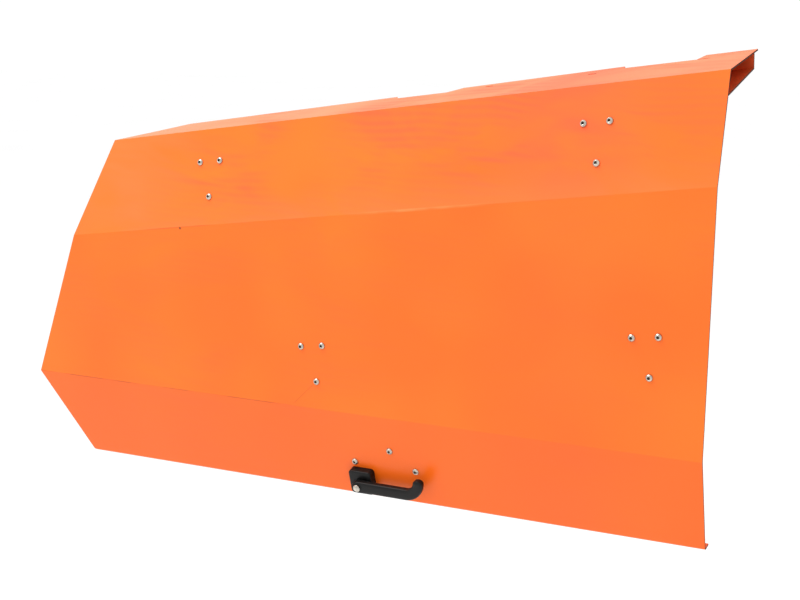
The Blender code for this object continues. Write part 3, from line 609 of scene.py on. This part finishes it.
def plate_piece(node, materials, body, width=0.5 * MM, second=None):
    """Finished copy of a plate; faces that second() picks out get the second material."""
    mesh = broken_copy(node, node + "_finished", width)
    if second:
        for face in mesh.polygons:
            face.material_index = int(second(face))
    weighted(hand_over(mesh.name, shaded(mesh, materials, 35.0), body, [node]))


# %% [markdown]
# ## The panel and its end box
#
# Both are 3 mm sheet. They keep the true bends of the CAD model and get edges broken by 0.3 mm,
# so that the bends stay round and only the sheared corners catch the light. The panel could be
# folded again from a flat shape here, but a merged copy of the CAD mesh can't differ from it.
# Inside the box, the faces that look towards its hollow take a painted shade.

# %% Panel
SHEET = 3.0 * MM
SHEET_EDGE = 0.3 * MM
SHEET_CORNER = 50.0

mesh = broken_copy("blade_panel", "blade_panel_coated", SHEET_EDGE, radians(SHEET_CORNER))
# Rim faces take the painted shade.
rims = mark_rim("blade_panel", mesh, SHEET)
shaded(mesh, [baked_orange_with_painted_light, painted_shade_on_rims], SHEET_CORNER)
weighted(hand_over(mesh.name, mesh, "blade", ["blade_panel"]))
print("panel has", len(mesh.polygons), "faces,", rims, "of them on the rim")

# %% End box
mesh = broken_copy("end_box", "end_box_coated", SHEET_EDGE, radians(SHEET_CORNER))
mark_rim("end_box", mesh, SHEET)
low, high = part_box("end_box")
hollow = (low + high) / 2 + Vector((0.0, 10.0 * MM, 8.0 * MM))
inner = 0
# Faces that look towards the hollow take the painted shade.
for face in mesh.polygons:
    inward = (hollow - face.center).dot(face.normal) > 0.5 * MM
    if face.material_index == 0 and inward and abs(face.normal.x) < 0.5:
        face.material_index = 2
        inner += 1
shaded(mesh, [baked_orange_box, painted_shade_on_rims, painted_shade_inside_box], SHEET_CORNER)
weighted(hand_over(mesh.name, mesh, "blade", ["end_box"]))
print("end box has", len(mesh.polygons), "faces,", inner, "of them inside")

# %% [markdown]
# ## Brackets and latch plates
#
# The hooks hang on round pins, which polish the walls of their slots. The slots are found from
# the frame's mounts: a mount is the seat at the top of a slot, so a face close under it that
# doesn't look sideways belongs to the slot. The small plates of the latch are zinc-plated.

# %% Brackets, with rubbed slots
SLOT_HALF = 8.5 * MM
SLOT_DEPTH = 36.0 * MM
CORNERS = ("upper_left", "upper_right", "lower_left", "lower_right")
mounts = {mount["name"]: Vector(mount["pos_m"]) for mount in frame["record"]["mounts"]}
seats_at = {corner: mounts["hook_seat_" + corner] for corner in CORNERS}


def in_slot(face):
    """Whether a bracket's face lines the slot under its seat."""
    spot = min((face.center - seat for seat in seats_at.values()), key=lambda s: s.length)
    inside = abs(spot.y) < SLOT_HALF + 0.1 * MM and -0.8 * SLOT_DEPTH < spot.z < 0.1 * MM
    return inside and abs(face.normal.x) < 0.5


for corner in CORNERS:
    node = "hook_bracket_" + corner
    plate_piece(node, [black_coat, rubbed_steel], "blade", second=in_slot)
print("four brackets, seats at", [tuple(round(v, 4) for v in s) for s in seats_at.values()])

# %% Latch plate, tongue, spindle and washer
plate_piece("latch_plate", [zinc], "blade", 0.4 * MM)
for node in ("latch_tongue", "latch_spindle", "tongue_washer"):
    plate_piece(node, [zinc], "latch", 0.3 * MM)
print("latch plate, tongue, spindle and washer have broken edges")

# %% [markdown]
# ## Fasteners
#
# Every screw of a size is the same, so one master is turned and then set out by Geometry
# Nodes: a point for each screw carries its axis, and the tree aims a copy along it, gives it
# a spin of its own, as a hand-driven screw has, and scales it to its real diameter and
# height. The masters are one unit wide and one unit high, turned from rings of corners.

# %% Round and hexagonal rings
SIDES = 48


def round_ring(radius, height):
    turns = [2 * pi * i / SIDES for i in range(SIDES)]
    return [Vector((radius * cos(t), radius * sin(t), height)) for t in turns]


def hexagon_ring(flats, height, soften=0.0):
    """Ring on a hexagon; soften moves it towards the circle inside it."""
    ring = []
    for i in range(SIDES):
        turn = 2 * pi * i / SIDES
        reach = 0.5 * flats / cos(turn % (pi / 3) - pi / 6)
        reach = reach * (1 - soften) + 0.5 * flats * soften
        ring.append(Vector((reach * cos(turn), reach * sin(turn), height)))
    return ring


print("rings have", SIDES, "corners")


# %% Skin over a stack of rings
def loft(name, rings, through=False):
    """Closed mesh through a stack of rings, capped, or closed on itself round a bore."""
    bm = bmesh.new()
    loops = [[bm.verts.new(corner) for corner in ring] for ring in rings]
    pairs = list(zip(loops, loops[1:]))
    if through:
        pairs.append((loops[-1], loops[0]))
    else:
        bm.faces.new(reversed(loops[0]))
        bm.faces.new(loops[-1])
    for lower, upper in pairs:
        for i in range(len(lower)):
            j = (i + 1) % len(lower)
            bm.faces.new((lower[i], lower[j], upper[j], upper[i]))
    bmesh.ops.recalc_face_normals(bm, faces=bm.faces)
    mesh = bpy.data.meshes.new(name)
    bm.to_mesh(mesh)
    bm.free()
    mesh.shade_smooth()
    mesh.set_sharp_from_angle(angle=radians(38))
    return mesh


# %% Button head and flange nut
def button_head():
    """Domed head with a hexagon socket, diameter 1 and height 1."""
    rings = [round_ring(0.49, 0.0), round_ring(0.5, 0.06)]
    for turn in range(10, 61, 10):
        rings.append(round_ring(0.5 * cos(radians(turn)), 0.06 + 1.085 * sin(radians(turn))))
    rings[-1] = round_ring(0.27, 1.0)
    rings.append(round_ring(0.235, 0.985))
    rings.append(hexagon_ring(0.372, 0.93))
    rings.append(hexagon_ring(0.366, 0.35))
    rings.append(round_ring(0.10, 0.22))
    mesh = loft("button_head", rings)
    recess = mesh.attributes.new("recess", "BOOLEAN", "FACE")
    for face in mesh.polygons:
        spot = face.center
        recess.data[face.index].value = spot.xy.length < 0.21 and spot.z > 0.1
    return mesh


def flange_nut():
    """Hexagon nut with a round flange; flange diameter 1 and height 1."""
    flats = 0.73
    rings = [
        round_ring(0.49, 0.0), round_ring(0.5, 0.03), round_ring(0.5, 0.12),
        round_ring(0.485, 0.18), hexagon_ring(flats, 0.27), hexagon_ring(flats, 0.93),
        hexagon_ring(flats, 0.965, 0.55), round_ring(flats * 0.46, 1.0),
        round_ring(0.245, 1.0), round_ring(0.232, 0.95), round_ring(0.232, 0.0),
    ]
    return loft("flange_nut", rings, through=True)


# %% Thread end and pan head
def thread_end():
    """End of a threaded shank: three turns of thread and a chamfer, diameter 1, height 1."""
    rings = [round_ring(0.42, 0.0)]
    for turn in range(3):
        foot = 0.06 + 0.26 * turn
        rings.append(round_ring(0.43, foot))
        rings.append(round_ring(0.495, foot + 0.10))
        rings.append(round_ring(0.495, foot + 0.15))
        rings.append(round_ring(0.43, foot + 0.24))
    rings.append(round_ring(0.42, 0.90))
    rings.append(round_ring(0.36, 1.0))
    return loft("thread_end", rings)


def pan_head():
    """Low domed head of the pivot bolt, diameter 1 and height 1."""
    profile = ((0.485, 0.0), (0.5, 0.08), (0.5, 0.42), (0.485, 0.56), (0.45, 0.70))
    crown = ((0.39, 0.83), (0.30, 0.93), (0.18, 0.985), (0.06, 1.0))
    return loft("pan_head", [round_ring(r, z) for r, z in profile + crown])


# %% The four masters
masters = {}
for mesh in (button_head(), flange_nut(), thread_end(), pan_head()):
    masters[mesh.name] = bpy.data.objects.new("master_" + mesh.name, mesh)
    print(mesh.name, len(mesh.polygons), "faces")

# %% [markdown]
# ## A tree that sets fasteners out
#
# Copies could be placed one by one in a loop. Geometry Nodes do it in one go, and the same
# tree serves every kind of fastener, because its sizes, its master and its seed are inputs.
# Instances are made real at the end, and the faces of a recess take a painted shade of their own.

# %% New Geometry Nodes tree with named inputs
def new_tree(name, kinds):
    """Tree that takes and gives geometry, its other inputs by kind, and the input sockets."""
    tree = bpy.data.node_groups.new(name, "GeometryNodeTree")
    for key, kind in {"Geometry": "Geometry", **kinds}.items():
        tree.interface.new_socket(key, in_out="INPUT", socket_type="NodeSocket" + kind)
    tree.interface.new_socket("Geometry", in_out="OUTPUT", socket_type="NodeSocketGeometry")
    return tree, add(tree, "NodeGroupInput").outputs


# %% A tree that sets fasteners out on points
def fastener_tree():
    tree, given = new_tree("set_out_fasteners", {
        "Master": "Object", "Diameter": "Float", "Height": "Float", "Largest Spin": "Float",
        "Seed": "Int", "Finish": "Material", "Recess Finish": "Material",
    })
    axis = add(tree, "GeometryNodeInputNamedAttribute", {"Name": "axis"}, data_type="FLOAT_VECTOR")
    aim = add(tree, "FunctionNodeAlignRotationToVector", {"Vector": axis}, axis="Z")
    spin = {"Max": given["Largest Spin"], "Seed": given["Seed"]}
    spin = add(tree, "FunctionNodeRandomValue", spin, data_type="FLOAT")
    turn = add(tree, "FunctionNodeAxisAngleToRotation", {"Axis": (0.0, 0.0, 1.0), "Angle": spin})
    turned = {"Rotation": aim, "Rotate By": turn}
    turned = add(tree, "FunctionNodeRotateRotation", turned, rotation_space="LOCAL")
    size = [given["Diameter"], given["Diameter"], given["Height"]]
    size = add(tree, "ShaderNodeCombineXYZ", size)
    master = add(tree, "GeometryNodeObjectInfo", {"Object": given["Master"]})
    spots = add(tree, "GeometryNodeMeshToPoints", {"Mesh": given["Geometry"]})
    copies = {
        "Points": spots, "Instance": master.outputs["Geometry"], "Rotation": turned, "Scale": size,
    }
    copies = add(tree, "GeometryNodeInstanceOnPoints", copies)
    real = add(tree, "GeometryNodeRealizeInstances", {"Geometry": copies})
    painted = {"Geometry": real, "Material": given["Finish"]}
    painted = add(tree, "GeometryNodeSetMaterial", painted)
    # Faces of a recess take the painted shade.
    recess = add(tree, "GeometryNodeInputNamedAttribute", {"Name": "recess"}, data_type="BOOLEAN")
    recess_shaded = {"Geometry": painted, "Selection": recess, "Material": given["Recess Finish"]}
    recess_shaded = add(tree, "GeometryNodeSetMaterial", recess_shaded)
    add(tree, "NodeGroupOutput", {"Geometry": recess_shaded})
    return tree


set_out = fastener_tree()
print(set_out.name, "has", len(set_out.nodes), "nodes")


# %% Run a tree, and set copies of a master out with it
def grow(name, base_mesh, tree, values):
    """Run a tree on a mesh and return the result as a plain mesh."""
    base = bpy.data.objects.new(name + "_base", base_mesh)
    bpy.context.scene.collection.objects.link(base)
    modifier = base.modifiers.new("grow", "NODES")
    modifier.node_group = tree
    names = {s.name: s.identifier for s in tree.interface.items_tree if s.in_out == "INPUT"}
    for key, value in values.items():
        modifier[names[key]] = value
    ready = base.evaluated_get(bpy.context.evaluated_depsgraph_get())
    mesh = bpy.data.meshes.new_from_object(ready)
    mesh.name = name
    bpy.data.objects.remove(base)
    return mesh


def set_out_fasteners(name, master, spots, size, body, stands_for, seed):
    """Copies of a master at (point, axis) spots, as one piece of a body."""
    base = bpy.data.meshes.new(name + "_spots")
    base.from_pydata([tuple(spot) for spot, _ in spots], [], [])
    axes = base.attributes.new("axis", "FLOAT_VECTOR", "POINT")
    for i, (_, axis) in enumerate(spots):
        axes.data[i].vector = axis
    values = {
        "Master": masters[master], "Diameter": size[0], "Height": size[1],
        "Largest Spin": 2 * pi, "Seed": seed, "Finish": zinc, "Recess Finish": painted_shade_in_socket,
    }
    mesh = grow(name, base, set_out, values)
    hand_over(name, mesh, body, stands_for)
    print(name, len(spots), "copies,", len(mesh.polygons), "faces")


# %% Screws and nuts through the panel
SCREW_HEAD = (14.0 * MM, 4.4 * MM)
FLANGE_NUT = (17.8 * MM, 8.0 * MM)
THREAD_END = (8.0 * MM, 4.0 * MM)

heads, ends, nuts = [], [], []
for name in screw_names:
    middle, out, low, high = axis_of(name)
    heads.append((middle + out * (high - SCREW_HEAD[1]), out))
    ends.append((middle + out * (low + THREAD_END[1]), -out))
for name in nut_names:
    middle, out, low, high = axis_of(name)
    nuts.append((middle + out * high, -out))
set_out_fasteners(
    "button_head_screws", "button_head", heads, SCREW_HEAD, "blade", screw_names, seed=11
)
set_out_fasteners("screw_thread_ends", "thread_end", ends, THREAD_END, "blade", [], seed=3)
set_out_fasteners("flange_nuts", "flange_nut", nuts, FLANGE_NUT, "blade", nut_names, seed=7)

# %% Fasteners of the latch
HOUSING_SCREW_HEAD = (9.5 * MM, 3.0 * MM)
PIVOT_HEAD = (15.2 * MM, 4.5 * MM)

housing_screws = ["housing_screw_1", "housing_screw_2"]
heads = []
for name in housing_screws:
    middle, out, low, high = axis_of(name, -latch_out)
    heads.append((middle + out * (high - HOUSING_SCREW_HEAD[1]), out))
set_out_fasteners(
    "housing_screw_heads", "button_head", heads, HOUSING_SCREW_HEAD, "blade", housing_screws,
    seed=5,
)
middle, out, low, high = axis_of("latch_pivot_bolt", latch_out)
top = (middle - latch.translation).dot(out) + high
bolt_head = [(latch @ Vector((0.0, 0.0, top - PIVOT_HEAD[1])), out)]
bolt_end = [(middle + out * (low + THREAD_END[1]), -out)]
set_out_fasteners(
    "pivot_bolt_head", "pan_head", bolt_head, PIVOT_HEAD, "latch", ["latch_pivot_bolt"], seed=1
)
set_out_fasteners("pivot_thread_end", "thread_end", bolt_end, THREAD_END, "latch", [], seed=2)
middle, out, low, high = axis_of("tongue_nut", latch_out)
nuts = [(middle + out * high, -out)]
set_out_fasteners(
    "pivot_flange_nut", "flange_nut", nuts, FLANGE_NUT, "latch", ["tongue_nut"], seed=4
)

# %% [markdown]
# ## Weld beads
#
# Each bracket's ear is welded to its plate, and the end box to the flange. A hand-laid bead
# is a row of overlapping ripples, about 2 mm apart, that starts and ends thin. That is a rule,
# so Geometry Nodes sweep it: the path is cut into short steps, the radius rises and falls
# with the distance along it, and Curve to Mesh skins it with closed ends.

# %% A tree that lays a weld bead along an edge
ROUND_THE_BEAD = 14


def bead_tree():
    tree, given = new_tree("lay_weld_bead", {
        "Bead Radius": "Float", "Ripple Pitch": "Float", "Ripple Depth": "Float",
        "Step": "Float", "Finish": "Material",
    })
    path = add(tree, "GeometryNodeMeshToCurve", {"Mesh": given["Geometry"]})
    steps = {"Curve": path, "Length": given["Step"]}
    steps = add(tree, "GeometryNodeResampleCurve", steps, mode="LENGTH")
    along = add(tree, "GeometryNodeSplineParameter").outputs
    phase = add(tree, MATH, [along["Length"], given["Ripple Pitch"]], operation="DIVIDE")
    phase = add(tree, MATH, [phase, pi], operation="MULTIPLY")
    wave = add(tree, MATH, [phase], operation="SINE")
    wave = add(tree, MATH, [wave], operation="ABSOLUTE")
    dip = add(tree, MATH, [1.0, wave], operation="SUBTRACT")
    dip = add(tree, MATH, [dip, given["Ripple Depth"]], operation="MULTIPLY")
    radius = add(tree, MATH, [given["Bead Radius"], dip], operation="SUBTRACT")
    left = add(tree, MATH, [1.0, along["Factor"]], operation="SUBTRACT")
    ends = add(tree, MATH, [along["Factor"], left], operation="MULTIPLY")
    taper = add(tree, RANGE, [ends, 0.0, 0.04, 0.35, 1.0])
    radius = add(tree, MATH, [radius, taper], operation="MULTIPLY")
    sized = add(tree, "GeometryNodeSetCurveRadius", {"Curve": steps, "Radius": radius})
    ring = {"Resolution": ROUND_THE_BEAD, "Radius": 1.0}
    ring = add(tree, "GeometryNodeCurvePrimitiveCircle", ring)
    follow = add(tree, "GeometryNodeInputRadius")
    skin = {"Curve": sized, "Profile Curve": ring, "Scale": follow, "Fill Caps": True}
    skin = add(tree, "GeometryNodeCurveToMesh", skin)
    smooth = add(tree, "GeometryNodeSetShadeSmooth", {"Geometry": skin})
    real = add(tree, "GeometryNodeRealizeInstances", {"Geometry": smooth})
    painted = {"Geometry": real, "Material": given["Finish"]}
    painted = add(tree, "GeometryNodeSetMaterial", painted)
    add(tree, "NodeGroupOutput", {"Geometry": painted})
    return tree


lay_bead = bead_tree()
print(lay_bead.name, "has", len(lay_bead.nodes), "nodes")


# %% Weld along straight lines
RIPPLE_PITCH = 2.2 * MM
RIPPLE_SHARE = 0.22
STEP = 0.45 * MM


def weld(name, lines, radius, finish):
    base = bpy.data.meshes.new(name + "_paths")
    corners = [tuple(end) for line in lines for end in line]
    base.from_pydata(corners, [(2 * i, 2 * i + 1) for i in range(len(lines))], [])
    values = {
        "Bead Radius": radius, "Ripple Pitch": RIPPLE_PITCH,
        "Ripple Depth": RIPPLE_SHARE * radius, "Step": STEP, "Finish": finish,
    }
    mesh = grow(name, base, lay_bead, values)
    hand_over(name, mesh, "blade", [])
    print(name, len(lines), "beads,", len(mesh.polygons), "faces")


# %% Beads beside the ears of the brackets
EAR_HALF = 4.0 * MM
EAR_BEAD = 2.4 * MM
EAR_REACH = (-12.0 * MM, 42.0 * MM)
backward = Vector((0.0, -1.0, 0.0))
lines = []
for corner in CORNERS:
    x, _, z = seats_at[corner]
    for side in (-1, 1):
        ends = []
        for height in EAR_REACH:
            start = Vector((x + side * (EAR_HALF + 1.2 * MM), cad_box[1][1], z + height))
            spot, normal = cast("hook_bracket_" + corner, start, backward)
            ends.append(spot + normal * 0.6 * MM)
        lines.append(ends)
weld("bracket_weld_beads", lines, EAR_BEAD, black_coat)

# %% Beads on the end box
BOX_BEAD = 2.0 * MM
BOX_REACHES = ((0.10, 0.36), (0.64, 0.90))
low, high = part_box("end_box")
upward = Vector((0.0, 0.0, 1.0))
lines = []
for reach in BOX_REACHES:
    ends = []
    for share in reach:
        x = low.x + share * (high.x - low.x)
        start = Vector((x, high.y + 0.8 * MM, low.z - 0.1))
        spot, normal = cast("blade_panel", start, upward)
        ends.append(spot + normal * 0.4 * MM)
    lines.append(ends)
weld("end_box_weld_beads", lines, BOX_BEAD, baked_orange_box)

# %% [markdown]
# ## The latch block
#
# The block is a hollow moulding: straight walls with a little draft, a full round along the
# front edges and tight corners where it meets the sheet. Stacked rounded rectangles follow
# that shape better than a bevelled box, because each ring can have a radius of its own.

# %% Sizes and outline of the latch block
BLOCK_WIDTH = 52.0 * MM
BLOCK_HEIGHT = 53.0 * MM
BLOCK_DEPTH = 18.0 * MM
BLOCK_CORNER = 7.0 * MM
BLOCK_RISE = 2.0 * MM
BLOCK_FOOT = 0.3 * MM
BLOCK_ROUND = 3.2 * MM
NECK = 13.4 * MM
NECK_END = -3.0 * MM
BORE = 9.4 * MM
DISH = 15.5 * MM
DISH_DEPTH = 0.5 * MM


def rounded_ring(inset, radius, level):
    """The block's outline at a level, moved in by an inset, with corners of a radius."""
    ring = []
    per_corner = SIDES // 4
    for corner, (sx, sy) in enumerate(((1, 1), (-1, 1), (-1, -1), (1, -1))):
        centre_x = sx * (BLOCK_WIDTH / 2 - inset - radius)
        centre_y = sy * (BLOCK_HEIGHT / 2 - inset - radius)
        for i in range(per_corner):
            turn = pi / 2 * (corner + i / (per_corner - 1))
            x = centre_x + radius * cos(turn)
            y = centre_y + radius * sin(turn) + BLOCK_RISE
            ring.append(Vector((x, y, level)))
    return ring


print("block is", round(BLOCK_WIDTH / MM), "by", round(BLOCK_HEIGHT / MM), "mm")

# %% Latch block
rings = [round_ring(BORE, NECK_END), round_ring(NECK, NECK_END), round_ring(NECK, BLOCK_FOOT)]
rings.append(rounded_ring(0.5 * MM, BLOCK_CORNER - 0.5 * MM, BLOCK_FOOT))
rings.append(rounded_ring(0.0, BLOCK_CORNER, BLOCK_FOOT + 0.5 * MM))
steps = 8
for i in range(steps + 1):
    turn = pi / 2 * i / steps
    inset = 0.4 * MM + BLOCK_ROUND * (1 - cos(turn))
    level = BLOCK_DEPTH - BLOCK_ROUND * (1 - sin(turn))
    rings.append(rounded_ring(inset, max(BLOCK_CORNER - 0.6 * inset, 3.5 * MM), level))
rings.append(round_ring(DISH, BLOCK_DEPTH))
rings.append(round_ring(DISH - 0.4 * MM, BLOCK_DEPTH - DISH_DEPTH))
rings.append(round_ring(BORE + 0.2 * MM, BLOCK_DEPTH - DISH_DEPTH))
mesh = loft("latch_block", rings, through=True)
mesh.transform(latch)
shaded(mesh, [nylon], 38.0)
hand_over("latch_block", mesh, "blade", ["latch_housing"])
print("latch block has", len(mesh.polygons), "faces")

# %% [markdown]
# ## The lever
#
# The lever is one moulding: a round hub on the spindle's square, an arm that thins out of it,
# and a hooked tip that a glove can pull. It is swept through soft-cornered sections along
# its own middle line, because a bevelled box would lose the round hub and the easy curve of
# the hook. Halfway through its thickness runs the fine line where the mould's halves met.

# %% Sizes and outline of the lever
LEVER_BASE = 18.4 * MM
LEVER_THICKNESS = 15.0 * MM
HUB_WIDTH = 26.0 * MM
ARM_WIDTH = 24.5 * MM
TIP_WIDTH = 21.0 * MM
NARROWING = 30.0 * MM
STRAIGHT = 108.5 * MM
HOOK_RADIUS = 33.0 * MM
HOOK_ANGLE = radians(84.0)
HUB_SQUARENESS = 6.0
ARM_SQUARENESS = 3.8
TIP_SQUARENESS = 3.2
AROUND = 56


def soft_section(width, thickness, squareness):
    """Soft-cornered outline with a small groove at the mould line."""
    outline = []
    power = 2.0 / squareness
    for i in range(AROUND):
        turn = 2 * pi * i / AROUND
        c, s = cos(turn), sin(turn)
        across = width / 2 * abs(c) ** power * (1 if c >= 0 else -1)
        through = thickness / 2 * abs(s) ** power * (1 if s >= 0 else -1)
        if i % (AROUND // 2) == 0:
            across -= 0.25 * MM * (1 if c >= 0 else -1)
        outline.append((across, through))
    return outline


def eased(share):
    """Share that starts and ends gently."""
    return share * share * (3 - 2 * share)


def between(first, last, share):
    return first + (last - first) * share


print("lever reaches", round((STRAIGHT + HOOK_RADIUS * sin(HOOK_ANGLE)) / MM, 1), "mm out")

# %% Sections along the lever: place, heading, width, thickness and squareness
sections = []
for turn in (4, 12, 22, 34, 48, 64, 80, 90):
    reach = HUB_WIDTH / 2 * cos(radians(turn))
    width = HUB_WIDTH * sin(radians(turn))
    sections.append((-reach, 0.0, 0.0, width, LEVER_THICKNESS, HUB_SQUARENESS))
for share in (0.25, 0.5, 0.75, 1.0):
    width = between(HUB_WIDTH, ARM_WIDTH, eased(share))
    squareness = between(HUB_SQUARENESS, ARM_SQUARENESS, eased(share))
    sections.append((NARROWING * share, 0.0, 0.0, width, LEVER_THICKNESS, squareness))
for share in (0.2, 0.4, 0.6, 0.8):
    x = between(NARROWING, STRAIGHT, share)
    sections.append((x, 0.0, 0.0, ARM_WIDTH, LEVER_THICKNESS, ARM_SQUARENESS))
hook_steps = 16
for i in range(hook_steps + 1):
    share = i / hook_steps
    turn = HOOK_ANGLE * share
    x = STRAIGHT + HOOK_RADIUS * sin(turn)
    y = HOOK_RADIUS * (1 - cos(turn))
    width = between(ARM_WIDTH, TIP_WIDTH, share)
    squareness = between(ARM_SQUARENESS, TIP_SQUARENESS, share)
    sections.append((x, y, turn, width, LEVER_THICKNESS, squareness))
for turn in (20, 38, 54, 68, 80, 87):
    reach = TIP_WIDTH / 2 * 0.7 * sin(radians(turn))
    width = TIP_WIDTH * cos(radians(turn))
    thickness = LEVER_THICKNESS * (0.55 + 0.45 * cos(radians(turn)))
    end = (x + reach * cos(HOOK_ANGLE), y + reach * sin(HOOK_ANGLE))
    sections.append((*end, HOOK_ANGLE, width, thickness, TIP_SQUARENESS))
print(len(sections), "sections along the lever")

# %% Lever
rings = []
for along, up, heading, width, thickness, squareness in sections:
    side = Vector((-sin(heading), cos(heading), 0.0))
    centre = Vector((along, up, LEVER_BASE + LEVER_THICKNESS / 2))
    outline = soft_section(width, thickness, squareness)
    rings.append([centre + side * a + Vector((0.0, 0.0, b)) for a, b in outline])
mesh = loft("lever_moulding", rings)
mesh.transform(latch)
shaded(mesh, [nylon], 60.0)
hand_over("lever_moulding", mesh, "latch", ["latch_lever"])
print("lever has", len(mesh.polygons), "faces")

# %% [markdown]
# ## Stage, light and camera
#
# The panel hangs in front of a plain pale floor. Soft light comes from all round, with one
# large softbox above on the left, so the facet that leans back is the palest and the
# one that is kicked under is the deepest; painted light and shade in the coat add to both.
# The plain view transform keeps the orange as clean as the paint card.

# %% Floor
FLOOR_DROP = 1.5
FLOOR_HALF = 30.0

floor_paint, tree, shader, place = new_material("matt_white_studio_floor", {"Roughness": 0.9})
speckle = add(tree, NOISE, {"Vector": place, "Scale": per_metre(900.0)})
plug(tree, shader, {"Base Color": mottle(tree, speckle, 0.3, 0.7, "#FAFAFA", "#FDFDFD")})
floor_mesh = bpy.data.meshes.new("studio_floor")
level = cad_box[0][2] - FLOOR_DROP
corners = [(x * FLOOR_HALF, y * FLOOR_HALF, level) for x, y in ((-1, -1), (1, -1), (1, 1), (-1, 1))]
floor_mesh.from_pydata(corners, [], [(0, 1, 2, 3)])
floor_mesh.materials.append(floor_paint)
floor = bpy.data.objects.new("studio_floor", floor_mesh)
bpy.context.scene.collection.objects.link(floor)
print("floor lies", FLOOR_DROP, "m under the panel")

# %% Light
SKY_STRENGTH = 1.04
KEY_WATTS = 115.0

world = bpy.data.worlds.new("white_studio")
world.use_nodes = True
sky = {"Color": "#FFFFFF", "Strength": SKY_STRENGTH}
plug(world.node_tree, world.node_tree.nodes["Background"], sky)
bpy.context.scene.world = world
bpy.context.scene.view_settings.view_transform = "Standard"


def softbox(name, place, aim, size, watts):
    light = bpy.data.lights.new(name, "AREA")
    light.size = size
    light.energy = watts
    lamp = bpy.data.objects.new(name, light)
    bpy.context.scene.collection.objects.link(lamp)
    lamp.location = place
    lamp.rotation_euler = (Vector(aim) - Vector(place)).to_track_quat("-Z", "Y").to_euler()


softbox("key_softbox", (-1.1, -1.0, 3.3), (-0.1, 0.0, 0.0), 2.0, KEY_WATTS)
print("one softbox and a white studio")

# %% Camera
eye = Vector((1.8502, -2.513, 0.4072))
look = Vector((-0.4876, 0.8461, -0.2155)).normalized()
above = Vector((-0.083, 0.2008, 0.9761))
right = look.cross(above).normalized()
above = right.cross(look)
camera_data = bpy.data.cameras.new("camera")
camera_data.sensor_width = 36.0
camera_data.lens = 67.37
camera = bpy.data.objects.new("camera", camera_data)
bpy.context.scene.collection.objects.link(camera)
camera.matrix_world = Matrix.Translation(eye) @ Matrix((right, above, -look)).transposed().to_4x4()
bpy.context.scene.camera = camera
print("camera stands", round(eye.length, 2), "m from the origin")
